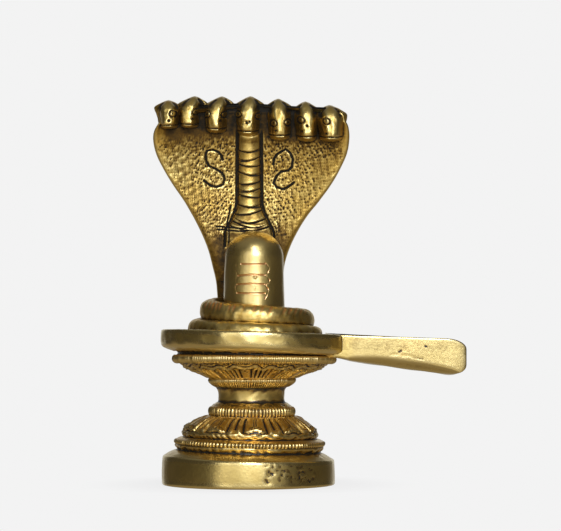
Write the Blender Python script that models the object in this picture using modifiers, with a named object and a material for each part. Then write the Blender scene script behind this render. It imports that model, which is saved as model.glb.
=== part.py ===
"""A small cast brass shiva lingam: a turned lotus pedestal with a basin and spout, the domed
lingam that stands in it, and a seven-headed cobra coiled round the lingam.

Metres, +Z up. The origin is the centre of the foot, on the surface that it stands on.
The front is -Y, where the cobra's faces look, and the spout points along +X.
"""

import math

import bmesh
import bpy
from mathutils import Vector

MM = 0.001
SLIVER = 0.003 * MM

# Pedestal: heights of the tiers, from the ground up
FOOT_WALL_HEIGHT = 7.2 * MM
FOOT_SHOULDER_HEIGHT = 1.4 * MM
LOWER_RING_HEIGHT = 3.2 * MM
LOWER_LOTUS_HEIGHT = 6.0 * MM
MIDDLE_RING_HEIGHT = 3.1 * MM
WAIST_HEIGHT = 3.9 * MM
UPPER_RING_HEIGHT = 2.3 * MM
UPPER_LOTUS_HEIGHT = 3.9 * MM
BASIN_RING_HEIGHT = 2.6 * MM
BASIN_UNDERSIDE_HEIGHT = 0.9 * MM
BASIN_WALL_HEIGHT = 4.4 * MM

# Pedestal: radii of the tiers
FOOT_RADIUS = 22.1 * MM
SHOULDER_TOP_RADIUS = 18.5 * MM
LOWER_RING_RADIUS = 19.3 * MM
LOWER_LOTUS_RADIUS = 17.3 * MM
LOWER_LOTUS_TOP_RADIUS = 10.5 * MM
MIDDLE_RING_RADIUS = 10.9 * MM
WAIST_RADIUS = 8.45 * MM
UPPER_RING_RADIUS = 11.25 * MM
UPPER_LOTUS_RADIUS = 19.0 * MM
BASIN_RING_RADIUS = 20.85 * MM
BASIN_RADIUS = 23.9 * MM

# Pedestal: basin, grooves and petals
BASIN_RIM_WIDTH = 2.1 * MM
BASIN_DEPTH = 2.0 * MM
SEAT_RADIUS = 17.8 * MM
GROOVE_DEPTH = 1.3 * MM
EDGE_ROUND = 0.5 * MM
LOWER_PETAL_COUNT = 10
UPPER_PETAL_COUNT = 12
PETAL_RELIEF = 0.55 * MM
LOWER_PETAL_TURN = 5.3
UPPER_PETAL_TURN = -7.0
TURNED_STEPS = 60

# Spout, measured from the basin's axis
SPOUT_LENGTH = 54.0 * MM
SPOUT_ROOT_HALF_WIDTH = 8.2 * MM
SPOUT_TIP_HALF_WIDTH = 6.8 * MM
SPOUT_ROOT_DEPTH = 6.2 * MM
SPOUT_TIP_DEPTH = 9.3 * MM
SPOUT_CHAMFER = 1.8 * MM
SPOUT_TIP_ROUND = 5.0 * MM
CHANNEL_RADIUS = 4.2 * MM
CHANNEL_DEPTH = 2.3 * MM

# The hand-made pedestal is not true: each tier's drift to the right, and its tilt
# down to the right and up at the front, in degrees
BASIN_DRIFT = 1.45 * MM
BASIN_ROLL = 1.9
BASIN_PITCH = 1.9
FOOT_TOP_ROLL = 1.5
LOTUS_ROLL = 1.1

# Lingam
SEAT_GAP = 0.3 * MM
LINGAM_RADIUS = 7.9 * MM
LINGAM_TOP_RADIUS = 7.45 * MM
LINGAM_SHAFT_HEIGHT = 20.9 * MM
LINGAM_DOME_HEIGHT = 6.8 * MM
LINGAM_STEPS = 28
ENGRAVED_LINE_COUNT = 4
ENGRAVED_LINE_PITCH = 2.5 * MM
ENGRAVED_LINE_START = 11.7 * MM
ENGRAVED_LINE_SPAN = 7.0 * MM
ENGRAVED_LINE_WIDTH = 0.45 * MM
ENGRAVED_FRAME_SPAN = 8.4 * MM

# Cobra: coil
COIL_TUBE_RADIUS = 3.05 * MM
COIL_UPPER_RADIUS = 10.9 * MM
COIL_SPREAD_PER_TURN = 2.6 * MM
COIL_RISE_PER_TURN = 4.9 * MM
COIL_TURNS = 1.85
COIL_TOP_HEIGHT = 8.7 * MM
TAIL_TIP_RADIUS = 0.9 * MM
COIL_POINTS_PER_TURN = 20

# Cobra: stem and hood
NAGA_DRIFT = 0.5 * MM
HOOD_ROOT_HEIGHT = 4.0 * MM
HOOD_HEIGHT = 54.6 * MM
HOOD_HALF_WIDTH = 25.1 * MM
HOOD_THICKNESS = 3.0 * MM
STEM_THICKNESS = 6.6 * MM
STEM_DISTANCE = 11.4 * MM
HOOD_LEAN_BACK = 1.3 * MM
HOOD_LEAN_FORWARD = 6.2 * MM
HOOD_SCOOP = 3.8 * MM

# Cobra: the plated belly and the spectacle marks
BELLY_HALF_WIDTH = 2.6 * MM
BELLY_FLARE = 3.2 * MM
BELLY_RELIEF = 0.7 * MM
BELLY_SPAN = (0.4, 0.84)
SCUTE_COUNT = 12
SCUTE_STEP = 0.35 * MM
MARK_ARC_RADIUS = 2.2 * MM
MARK_LINE_WIDTH = 0.8 * MM
MARK_DISTANCE = 8.9 * MM
MARK_PLACE = 0.745

# Cobra: the heads
HEAD_COUNT = 7
HEAD_SPACING = 7.0 * MM
MIDDLE_HEAD_HEIGHT = 10.8 * MM
MIDDLE_HEAD_WIDTH = 8.0 * MM
OUTER_HEAD_HEIGHT = 8.6 * MM
OUTER_HEAD_WIDTH = 6.9 * MM
OUTER_HEAD_DROP = 1.5 * MM
HEAD_REACH = 6.0 * MM
MOUTH_PLACE = 0.86
HEAD_ROW_ROLL = 2.1
CROWN_ABOVE_HOOD = 4.0 * MM
NECK_LENGTH = 17.0 * MM
NECK_RADIUS = 1.9 * MM


def clear_scene():
    for thing in list(bpy.data.objects):
        bpy.data.objects.remove(thing, do_unlink=True)


def new_collection(name):
    collection = bpy.data.collections.new(name)
    bpy.context.scene.collection.children.link(collection)
    return collection


def brass(name, colour, roughness):
    material = bpy.data.materials.new(name)
    material.use_nodes = True
    shader = material.node_tree.nodes["Principled BSDF"]
    shader.inputs["Base Color"].default_value = (*colour, 1.0)
    shader.inputs["Roughness"].default_value = roughness
    shader.inputs["Metallic"].default_value = 1.0
    return material


def follow(points, position):
    """A smooth curve through a few points (position, value)."""
    last = len(points) - 1
    if position <= points[0][0]:
        return points[0][1]
    if position >= points[last][0]:
        return points[last][1]
    index = max(i for i in range(last) if points[i][0] <= position)
    start, end = points[index], points[index + 1]
    before = points[max(index - 1, 0)]
    after = points[min(index + 2, last)]
    span = end[0] - start[0]
    slope_in = (end[1] - before[1]) / (end[0] - before[0]) * span
    slope_out = (after[1] - start[1]) / (after[0] - start[0]) * span
    t = (position - start[0]) / span
    return (
        (2 * t**3 - 3 * t**2 + 1) * start[1]
        + (t**3 - 2 * t**2 + t) * slope_in
        + (3 * t**2 - 2 * t**3) * end[1]
        + (t**3 - t**2) * slope_out
    )


def mesh_object(name, shape, collection):
    """An object from a bmesh, which is used up."""
    mesh = bpy.data.meshes.new(name)
    bmesh.ops.recalc_face_normals(shape, faces=shape.faces)
    shape.to_mesh(mesh)
    shape.free()
    thing = bpy.data.objects.new(name, mesh)
    collection.objects.link(thing)
    return thing


def bake(thing):
    """Turns an object with modifiers into a plain mesh of the same shape."""
    bpy.context.view_layer.update()
    graph = bpy.context.evaluated_depsgraph_get()
    mesh = bpy.data.meshes.new_from_object(thing.evaluated_get(graph))
    thing.modifiers.clear()
    thing.data = mesh
    bpy.context.view_layer.update()


def turned(name, profile, steps, collection):
    """A solid of revolution from a profile that starts and ends on the axis, top first."""
    mesh = bpy.data.meshes.new(name)
    corners = [(radius, 0.0, height) for radius, height in profile]
    edges = [(i, i + 1) for i in range(len(corners) - 1)]
    mesh.from_pydata(corners, edges, [])
    thing = bpy.data.objects.new(name, mesh)
    collection.objects.link(thing)
    screw = thing.modifiers.new("Screw", "SCREW")
    screw.steps = steps
    screw.render_steps = steps
    screw.use_merge_vertices = True
    screw.merge_threshold = 0.00001
    bake(thing)
    return thing


def tidy_slivers(thing):
    """Closes up the needle-thin faces that a join or a cut can leave."""
    shape = bmesh.new()
    shape.from_mesh(thing.data)
    bmesh.ops.remove_doubles(shape, verts=shape.verts, dist=SLIVER)
    bmesh.ops.dissolve_degenerate(shape, edges=shape.edges, dist=SLIVER)
    shape.to_mesh(thing.data)
    shape.free()
    bpy.context.view_layer.update()


def combine(thing, other, operation, folded=False, solver="EXACT"):
    """Joins another solid to this one, or cuts it out. A folded one touches itself."""
    step = thing.modifiers.new(operation.title(), "BOOLEAN")
    step.operation = operation
    step.solver = solver
    if folded:
        step.use_self = True
    step.object = other
    bake(thing)
    tidy_slivers(thing)
    bpy.data.objects.remove(other, do_unlink=True)


def as_cutter(thing):
    thing.hide_render = True
    thing.display_type = "WIRE"
    return thing


def tube(name, points, radii, sides_level, collection):
    """A closed mesh tube along points, with a radius at each."""
    curve = bpy.data.curves.new(name, "CURVE")
    curve.dimensions = "3D"
    curve.bevel_depth = 1.0
    curve.bevel_resolution = sides_level
    curve.use_fill_caps = True
    spline = curve.splines.new("POLY")
    spline.points.add(len(points) - 1)
    for spot, point, radius in zip(spline.points, points, radii):
        spot.co = (*point, 1.0)
        spot.radius = radius
    guide = bpy.data.objects.new(name + "_path", curve)
    collection.objects.link(guide)
    bpy.context.view_layer.update()
    graph = bpy.context.evaluated_depsgraph_get()
    mesh = bpy.data.meshes.new_from_object(guide.evaluated_get(graph))
    shape = bmesh.new()
    shape.from_mesh(mesh)
    bmesh.ops.remove_doubles(shape, verts=shape.verts, dist=0.000005)
    thing = mesh_object(name, shape, collection)
    thing.matrix_world = guide.matrix_world
    bpy.data.objects.remove(guide, do_unlink=True)
    return thing


def loft(name, sections, collection):
    """A closed solid through flat loops of points that all have the same number of corners."""
    shape = bmesh.new()
    rings = [[shape.verts.new(point) for point in section] for section in sections]
    count = len(rings[0])
    for lower, upper in zip(rings, rings[1:]):
        for i in range(count):
            k = (i + 1) % count
            shape.faces.new((lower[i], lower[k], upper[k], upper[i]))
    shape.faces.new(rings[0])
    shape.faces.new(rings[-1])
    return mesh_object(name, shape, collection)


def tier_levels():
    """Height of the bottom of each tier, and of the basin's rim at the end."""
    heights = {
        "foot": FOOT_WALL_HEIGHT,
        "shoulder": FOOT_SHOULDER_HEIGHT,
        "lower_ring": LOWER_RING_HEIGHT,
        "lower_lotus": LOWER_LOTUS_HEIGHT,
        "middle_ring": MIDDLE_RING_HEIGHT,
        "waist": WAIST_HEIGHT,
        "upper_ring": UPPER_RING_HEIGHT,
        "upper_lotus": UPPER_LOTUS_HEIGHT,
        "basin_ring": BASIN_RING_HEIGHT,
        "underside": BASIN_UNDERSIDE_HEIGHT,
        "basin": BASIN_WALL_HEIGHT,
    }
    levels = {}
    height = 0.0
    for name, rise in heights.items():
        levels[name] = height
        height += rise
    levels["rim"] = height
    levels["floor"] = height - BASIN_DEPTH
    return levels


LEVEL = tier_levels()
SEAT_HEIGHT = LEVEL["floor"]


def lower_lotus_profile():
    """The cushion of the lower lotus, from its top edge down to its rim: (radius, height)."""
    base = LEVEL["lower_lotus"]
    run = LOWER_LOTUS_RADIUS - LOWER_LOTUS_TOP_RADIUS
    corners = []
    for share in (0.0, 0.25, 0.52, 0.78):
        drop = 1.0 - math.sqrt(1.0 - share**2 * 0.93)
        height = base + LOWER_LOTUS_HEIGHT * (1.0 - drop)
        corners.append((LOWER_LOTUS_TOP_RADIUS + run * share, height))
    corners.append((LOWER_LOTUS_RADIUS, base + 0.2 * LOWER_LOTUS_HEIGHT))
    corners.append((LOWER_LOTUS_RADIUS - EDGE_ROUND, base + 0.05 * LOWER_LOTUS_HEIGHT))
    return corners


def upper_lotus_profile():
    """The flaring cup of the upper lotus, from its top edge down: (radius, height)."""
    base = LEVEL["upper_lotus"]
    narrow = UPPER_RING_RADIUS + EDGE_ROUND
    corners = []
    for share in (1.0, 0.8, 0.55, 0.28, 0.0):
        radius = narrow + (UPPER_LOTUS_RADIUS - narrow) * share
        height = base + UPPER_LOTUS_HEIGHT * (0.06 + 0.86 * share**1.15)
        corners.append((radius, height))
    return corners


def pedestal_profile():
    """The whole pedestal's profile from the middle of the basin out and down to the ground."""
    level = LEVEL
    half = EDGE_ROUND
    ring = level["basin_ring"]
    upper = level["upper_ring"]
    waist = level["waist"]
    middle = level["middle_ring"]
    lower = level["lower_ring"]
    corners = [(0.0, level["floor"]), (SEAT_RADIUS, level["floor"])]
    corners += [
        (BASIN_RADIUS - BASIN_RIM_WIDTH - half, level["floor"] + 0.2 * half),
        (BASIN_RADIUS - BASIN_RIM_WIDTH, level["rim"]),
        (BASIN_RADIUS - half, level["rim"]),
        (BASIN_RADIUS, level["rim"] - half),
        (BASIN_RADIUS - 0.2 * half, level["basin"] + half),
        (BASIN_RING_RADIUS, level["underside"] + 0.3 * BASIN_UNDERSIDE_HEIGHT),
        (BASIN_RING_RADIUS - GROOVE_DEPTH, level["underside"]),
        (BASIN_RING_RADIUS - 0.8 * half, ring + 0.72 * BASIN_RING_HEIGHT),
        (BASIN_RING_RADIUS, ring + 0.3 * BASIN_RING_HEIGHT),
        (UPPER_LOTUS_RADIUS - half, ring),
    ]
    corners += upper_lotus_profile()
    corners += [
        (UPPER_RING_RADIUS - half, upper + UPPER_RING_HEIGHT),
        (UPPER_RING_RADIUS, upper + 0.8 * UPPER_RING_HEIGHT),
        (WAIST_RADIUS + half, upper),
        (WAIST_RADIUS, waist + 0.8 * WAIST_HEIGHT),
        (WAIST_RADIUS, waist + 0.25 * WAIST_HEIGHT),
        (WAIST_RADIUS + half, waist),
        (MIDDLE_RING_RADIUS, middle + 0.45 * MIDDLE_RING_HEIGHT),
        (MIDDLE_RING_RADIUS - half, middle + 0.04 * MIDDLE_RING_HEIGHT),
    ]
    corners += lower_lotus_profile()
    corners += [
        (LOWER_RING_RADIUS - GROOVE_DEPTH, lower + 0.95 * LOWER_RING_HEIGHT),
        (LOWER_RING_RADIUS, lower + 0.68 * LOWER_RING_HEIGHT),
        (LOWER_RING_RADIUS - 0.6 * half, lower + 0.2 * LOWER_RING_HEIGHT),
        (SHOULDER_TOP_RADIUS, lower),
        (FOOT_RADIUS - half, level["shoulder"]),
        (FOOT_RADIUS, level["shoulder"] - 1.5 * half),
        (FOOT_RADIUS, half),
        (FOOT_RADIUS - half, 0.0),
        (0.0, 0.0),
    ]
    return corners


def carve_petals(thing, profile, petal_count, front_turn, tip_first):
    """Raises petals and the bars between them on one lotus, by moving its corners outward.

    A petal spans about two fifths of its share of the turn, then a groove, then a bar. One
    petal's middle is turned this many degrees to the right of the front.
    """
    last = len(profile) - 1
    heights = [corner[1] for corner in profile]
    inner_slope = Vector((profile[0][0] - profile[last][0], heights[0] - heights[last]))
    outward = Vector((-inner_slope.y, inner_slope.x)).normalized()
    if outward.x < 0.0:
        outward = -outward
    tolerance = 0.01 * MM
    rows = profile[1:last - 1] if tip_first else profile[1:last]
    for corner in thing.data.vertices:
        radius = math.hypot(corner.co.x, corner.co.y)
        for row_radius, row_height in rows:
            same_height = abs(corner.co.z - row_height) < tolerance
            if not same_height or abs(radius - row_radius) > tolerance:
                continue
            from_front = math.atan2(corner.co.x, -corner.co.y) - math.radians(front_turn)
            turn = from_front / math.tau * petal_count
            place = abs((turn + 0.5) % 1.0 - 0.5)
            if place < 0.21:
                lift = PETAL_RELIEF
            elif place > 0.46:
                lift = 0.7 * PETAL_RELIEF
            else:
                lift = -0.6 * PETAL_RELIEF
            stretch = (radius + lift * outward.x) / radius
            corner.co.x *= stretch
            corner.co.y *= stretch
            corner.co.z += lift * outward.y
            break


def spout_section(distance):
    """The spout's cross-section at a distance from the basin's axis."""
    start = BASIN_RADIUS
    share = max(0.0, (distance - start) / (SPOUT_LENGTH - start))
    half_width = SPOUT_ROOT_HALF_WIDTH + (SPOUT_TIP_HALF_WIDTH - SPOUT_ROOT_HALF_WIDTH) * share
    depth = SPOUT_ROOT_DEPTH + (SPOUT_TIP_DEPTH - SPOUT_ROOT_DEPTH) * share**0.9
    wall = depth - 0.5 * EDGE_ROUND - SPOUT_CHAMFER * math.sin(math.pi * share) ** 0.6
    into_tip = max(0.0, distance - (SPOUT_LENGTH - SPOUT_TIP_ROUND)) / SPOUT_TIP_ROUND
    curl = 1.0 - math.sqrt(max(0.0, 1.0 - into_tip**2))
    top = LEVEL["rim"] - 0.7 * SPOUT_TIP_ROUND * curl
    bottom = LEVEL["rim"] - depth + 0.75 * SPOUT_TIP_ROUND * curl
    wall_foot = max(LEVEL["rim"] - wall, bottom + 0.3 * EDGE_ROUND)
    half_width -= 0.3 * SPOUT_TIP_ROUND * curl
    keel = half_width - 1.2 * (wall_foot - bottom)
    across = ((-half_width, top), (-half_width, wall_foot), (-keel, bottom))
    side = [(distance, y, z) for y, z in across]
    return side + [(distance, -y, z) for y, z in reversed(across)]


def make_spout(collection):
    stations = [SEAT_RADIUS + 0.5 * MM, BASIN_RADIUS]
    straight = 6
    round_steps = 5
    reach = SPOUT_LENGTH - SPOUT_TIP_ROUND - BASIN_RADIUS
    stations += [BASIN_RADIUS + reach * (i + 1) / straight for i in range(straight)]
    for i in range(round_steps):
        angle = 0.5 * math.pi * (i + 1) / round_steps
        stations.append(SPOUT_LENGTH - SPOUT_TIP_ROUND * (1.0 - math.sin(angle)))
    return loft("spout", [spout_section(distance) for distance in stations], collection)


def make_channel(collection):
    """The round-bottomed channel that drains the basin along the spout."""
    start = SEAT_RADIUS + 0.8 * MM
    length = SPOUT_LENGTH - start + SPOUT_TIP_ROUND
    shape = bmesh.new()
    bmesh.ops.create_cone(
        shape, cap_ends=True, segments=20, radius1=CHANNEL_RADIUS, radius2=CHANNEL_RADIUS, depth=length
    )
    for corner in shape.verts:
        height = LEVEL["rim"] - CHANNEL_DEPTH + CHANNEL_RADIUS
        corner.co = Vector((corner.co.z + start + 0.5 * length, corner.co.y, -corner.co.x + height))
    return as_cutter(mesh_object("channel", shape, collection))


def tier_tilts():
    """Rows of (height, drift to the right, roll, pitch) up the pedestal."""
    return (
        (0.0, 0.0, 0.0, 0.0),
        (LEVEL["shoulder"], 0.0, FOOT_TOP_ROLL, 0.0),
        (LEVEL["lower_lotus"], 0.25 * BASIN_DRIFT, LOTUS_ROLL, 0.0),
        (LEVEL["middle_ring"], 0.6 * BASIN_DRIFT, 0.4 * LOTUS_ROLL, 0.0),
        (LEVEL["upper_ring"], 0.55 * BASIN_DRIFT, 0.0, 0.2 * BASIN_PITCH),
        (LEVEL["basin_ring"], BASIN_DRIFT, BASIN_ROLL, 0.8 * BASIN_PITCH),
        (LEVEL["rim"], BASIN_DRIFT, BASIN_ROLL, BASIN_PITCH),
    )


def lean(point):
    """Moves a point of the true pedestal to its place in the hand-made one."""
    rows = tier_tilts()
    drift = follow([(row[0], row[1]) for row in rows], point.z)
    roll = follow([(row[0], row[2]) for row in rows], point.z)
    pitch = follow([(row[0], row[3]) for row in rows], point.z)
    on_seat = point.z > LEVEL["underside"] and math.hypot(point.x, point.y) < SEAT_RADIUS + 0.1 * MM
    rise = 0.0
    if not on_seat:
        rise = -point.x * math.tan(math.radians(roll)) - point.y * math.tan(math.radians(pitch))
    return Vector((point.x + drift, point.y, point.z + rise))


def make_pedestal(collection, tools):
    profile = pedestal_profile()
    pedestal = turned("yoni_pedestal", profile, TURNED_STEPS, collection)
    carve_petals(pedestal, lower_lotus_profile(), LOWER_PETAL_COUNT, LOWER_PETAL_TURN, True)
    carve_petals(pedestal, upper_lotus_profile(), UPPER_PETAL_COUNT, UPPER_PETAL_TURN, False)
    combine(pedestal, make_spout(tools), "UNION")
    combine(pedestal, make_channel(tools), "DIFFERENCE")
    for corner in pedestal.data.vertices:
        corner.co = lean(corner.co)
    pedestal.data.materials.append(brass("pedestal_brass", (0.62, 0.45, 0.16), 0.33))
    return pedestal


def lingam_profile(grow):
    """The shaft and dome, top first, with a gap of this much added all round."""
    foot = SEAT_HEIGHT + SEAT_GAP
    shoulder = foot + LINGAM_SHAFT_HEIGHT
    corners = []
    dome_steps = 5
    for i in range(dome_steps + 1):
        angle = 0.5 * math.pi * i / dome_steps
        radius = (LINGAM_TOP_RADIUS + grow) * math.sin(angle)
        height = shoulder + (LINGAM_DOME_HEIGHT + grow) * math.cos(angle)
        corners.append((radius if i else 0.0, height))
    shaft_rows = 2
    for i in range(1, shaft_rows + 1):
        share = i / shaft_rows
        radius = LINGAM_TOP_RADIUS + (LINGAM_RADIUS - LINGAM_TOP_RADIUS) * math.sin(0.5 * math.pi * share)
        corners.append((radius + grow, shoulder - (LINGAM_SHAFT_HEIGHT + grow) * share))
    corners.append((0.0, foot - grow))
    return corners


def shaft_radius(height):
    """The lingam's radius at a height."""
    share = (SEAT_HEIGHT + SEAT_GAP + LINGAM_SHAFT_HEIGHT - height) / LINGAM_SHAFT_HEIGHT
    share = min(max(share, 0.0), 1.0)
    return LINGAM_TOP_RADIUS + (LINGAM_RADIUS - LINGAM_TOP_RADIUS) * math.sin(0.5 * math.pi * share)


def engraving_points(places):
    """Points on the front of the shaft, from places (across, height)."""
    points = []
    for across, height in places:
        radius = shaft_radius(height)
        angle = across / radius
        points.append((radius * math.sin(angle), -radius * math.cos(angle), height))
    return points


def make_lingam(collection, tools):
    lingam = turned("lingam", lingam_profile(0.0), LINGAM_STEPS, collection)
    line_radius = 0.5 * ENGRAVED_LINE_WIDTH
    lowest = SEAT_HEIGHT + SEAT_GAP + ENGRAVED_LINE_START
    half_span = 0.5 * ENGRAVED_LINE_SPAN
    parts = 4
    for i in range(ENGRAVED_LINE_COUNT):
        height = lowest + i * ENGRAVED_LINE_PITCH
        places = [(-half_span + ENGRAVED_LINE_SPAN * k / parts, height) for k in range(parts + 1)]
        line = tube("engraved_line", engraving_points(places), [line_radius] * len(places), 0, tools)
        combine(lingam, as_cutter(line), "DIFFERENCE")
    frame_height = (ENGRAVED_LINE_COUNT - 1) * ENGRAVED_LINE_PITCH
    for side in (-1, 1):
        places = []
        for k in range(4 * (ENGRAVED_LINE_COUNT - 1) + 1):
            share = k / (4 * (ENGRAVED_LINE_COUNT - 1))
            bulge = 0.5 * (ENGRAVED_FRAME_SPAN - ENGRAVED_LINE_SPAN)
            wave = abs(math.sin(math.pi * (ENGRAVED_LINE_COUNT - 1) * share))
            across = side * (half_span + line_radius + 0.3 * MM + bulge * wave)
            places.append((across, lowest + frame_height * share))
        frame = tube("engraved_frame", engraving_points(places), [line_radius] * len(places), 0, tools)
        combine(lingam, as_cutter(frame), "DIFFERENCE")
    for corner in lingam.data.vertices:
        corner.co.x += BASIN_DRIFT
    lingam.data.materials.append(brass("lingam_brass", (0.66, 0.52, 0.22), 0.25))
    return lingam


def make_coil(collection):
    """The coil, from the tail's tip low behind the right side, round the front, to the stem."""
    count = int(COIL_TURNS * COIL_POINTS_PER_TURN)
    points = []
    radii = []
    top = SEAT_HEIGHT + COIL_TOP_HEIGHT
    for i in range(count + 1):
        turns_left = COIL_TURNS * (1.0 - i / count)
        angle = 0.5 * math.pi + math.tau * turns_left
        distance = COIL_UPPER_RADIUS - 0.3 * MM + COIL_SPREAD_PER_TURN * turns_left
        height = top - COIL_RISE_PER_TURN * turns_left
        taper = min(1.0, math.sqrt((i / count) / 0.3 + 0.02))
        radius = TAIL_TIP_RADIUS + (COIL_TUBE_RADIUS - TAIL_TIP_RADIUS) * taper
        height = max(height, SEAT_HEIGHT + SEAT_GAP + 0.75 * radius)
        points.append((BASIN_DRIFT + distance * math.cos(angle), distance * math.sin(angle), height))
        radii.append(radius)
    return tube("coil", points, radii, 2, collection)


HOOD_OUTLINE = (
    (0.0, 0.33), (0.14, 0.343), (0.24, 0.376), (0.33, 0.425), (0.41, 0.49), (0.5, 0.6),
    (0.58, 0.722), (0.66, 0.838), (0.74, 0.93), (0.82, 0.985), (0.9, 1.0), (0.96, 0.97), (1.0, 0.88),
)


def hood_half_width(share):
    """Half the width of the stem and hood, at a share of its height."""
    return HOOD_HALF_WIDTH * follow(HOOD_OUTLINE, share)


def hood_middle(share):
    """A point on the middle line of stem and hood, and the direction that its face looks."""
    lean_places = (
        (0.0, 0.0), (0.2, 0.1 * HOOD_LEAN_BACK), (0.5, HOOD_LEAN_BACK), (0.65, 0.8 * HOOD_LEAN_BACK),
        (0.8, -0.2 * HOOD_LEAN_FORWARD), (0.9, -0.52 * HOOD_LEAN_FORWARD), (1.0, -HOOD_LEAN_FORWARD),
    )
    step = 0.01
    depth = STEM_DISTANCE + follow(lean_places, share)
    slope = (follow(lean_places, share + step) - follow(lean_places, share - step)) / (2 * step * HOOD_HEIGHT)
    point = Vector((NAGA_DRIFT, depth, SEAT_HEIGHT + HOOD_ROOT_HEIGHT + HOOD_HEIGHT * share))
    return point, Vector((0.0, -1.0, -slope)).normalized()


def belly_half_width(share):
    """Half the width of the plated belly: straight above, flaring out to the stem below."""
    flare = max(0.0, (0.58 - share) / 0.16)
    return min(BELLY_HALF_WIDTH + BELLY_FLARE * flare**1.6, 0.55 * hood_half_width(share))


def hood_offsets(across, share):
    """How far the front and the back of the hood stand from its middle surface."""
    width = hood_half_width(share)
    place = min(abs(across) / width, 1.0)
    spread = follow(((0.2, 0.0), (0.45, 0.5), (0.7, 1.0)), share)
    fullness = 2.3 + 9.0 * spread
    edge = math.sqrt(max(0.0, 1.0 - place**fullness))
    thick = STEM_THICKNESS + (HOOD_THICKNESS - STEM_THICKNESS) * spread
    scoop = HOOD_SCOOP * spread * place**2.2
    spine = 0.35 * HOOD_THICKNESS * spread * math.exp(-((across / (1.3 * BELLY_HALF_WIDTH)) ** 2))
    return scoop + 0.5 * thick * edge, scoop - 0.5 * thick * edge - spine


def hood_section(share):
    middle, facing = hood_middle(share)
    width = hood_half_width(share)
    front_half = [width * part for part in (0.0, 0.2, 0.4, 0.6, 0.78, 0.91, 0.98, 1.0)]
    back_half = [width * part for part in (0.0, 0.17, 0.4, 0.62, 0.82, 0.95)]
    front = [-across for across in reversed(front_half)] + front_half[1:]
    back = [across for across in reversed(back_half)] + [-across for across in back_half[1:]]
    points = []
    for across in front:
        offset = hood_offsets(across, share)[0]
        points.append(middle + Vector((across, 0.0, 0.0)) + facing * offset)
    for across in back:
        offset = hood_offsets(across, share)[1]
        points.append(middle + Vector((across, 0.0, 0.0)) + facing * offset)
    return points


def make_hood(collection):
    shares = (0.0, 0.12, 0.23, 0.33, 0.41, 0.48, 0.55, 0.62, 0.69, 0.76, 0.83, 0.89, 0.95, 1.0)
    return loft("naga", [hood_section(share) for share in shares], collection)


def belly_section(share, lift):
    """The plated belly's cross-section: a low dome that stands out of the hood's face."""
    middle, facing = hood_middle(share)
    half = belly_half_width(share)
    sunk = 0.35 * HOOD_THICKNESS
    points = []
    for place, rise in ((-1.0, -sunk), (-1.0, 0.0), (-0.55, 0.8), (0.0, 1.0), (0.55, 0.8), (1.0, 0.0), (1.0, -sunk)):
        across = place * half
        stand = rise if rise < 0.0 else rise * (BELLY_RELIEF + lift) + 0.2 * (BELLY_RELIEF + lift)
        offset = hood_offsets(across, share)[0] + stand
        points.append(middle + Vector((across, 0.0, 0.0)) + facing * offset)
    return points


def make_belly(collection):
    """The belly's plates, each with its lower edge standing proud of the next."""
    lowest, highest = BELLY_SPAN
    sections = []
    for i in range(SCUTE_COUNT):
        share = lowest + (highest - lowest) * i / SCUTE_COUNT
        sections.append(belly_section(share, SCUTE_STEP))
        sections.append(belly_section(share + 0.86 * (highest - lowest) / SCUTE_COUNT, 0.0))
    sections.append(belly_section(highest, SCUTE_STEP))
    return loft("belly", sections, collection)


def head_place(index):
    """The crown's place, and the height and width, of one head."""
    side = index - 0.5 * (HEAD_COUNT - 1)
    outer = abs(side) / (0.5 * (HEAD_COUNT - 1))
    height = MIDDLE_HEAD_HEIGHT + (OUTER_HEAD_HEIGHT - MIDDLE_HEAD_HEIGHT) * outer
    width = MIDDLE_HEAD_WIDTH + (OUTER_HEAD_WIDTH - MIDDLE_HEAD_WIDTH) * outer**0.6
    across = side * HEAD_SPACING * (1.0 - 0.035 * abs(side) / 3.0)
    top = SEAT_HEIGHT + HOOD_ROOT_HEIGHT + HOOD_HEIGHT + CROWN_ABOVE_HOOD
    top -= OUTER_HEAD_DROP * outer**3 + across * math.tan(math.radians(HEAD_ROW_ROLL))
    return across, top, height, width


def head_shape(across, along, width, height):
    """A point of a head: across -1..1 is left to right, along 0..1 is crown to chin.

    The head hangs down from its crown, with the snout pointing down and forward.
    """
    outline = ((0.0, 0.15), (0.1, 0.58), (0.24, 0.92), (0.45, 1.0), (0.7, 0.9), (0.86, 0.7), (1.0, 0.35))
    reach = ((0.0, 0.12), (0.15, 0.5), (0.35, 0.76), (0.6, 0.95), (0.78, 1.0), (0.9, 0.86), (1.0, 0.4))
    x = 0.5 * width * follow(outline, along) * across
    round_off = math.sqrt(max(0.0, 1.0 - across**2))
    ridge = 0.14 * math.exp(-((across / 0.3) ** 2)) * math.sin(math.pi * min(1.0, along * 1.05)) ** 0.5
    eye = 0.12 * math.exp(-(((abs(across) - 0.6) / 0.2) ** 2) - ((along - 0.42) / 0.09) ** 2)
    mouth = 0.1 * math.exp(-(((along - MOUTH_PLACE) / 0.025) ** 2)) * (1.0 - across**2)
    y = HEAD_REACH * (follow(reach, along) * (0.86 * round_off + ridge) - eye - mouth)
    return x, y, -height * along


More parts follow.
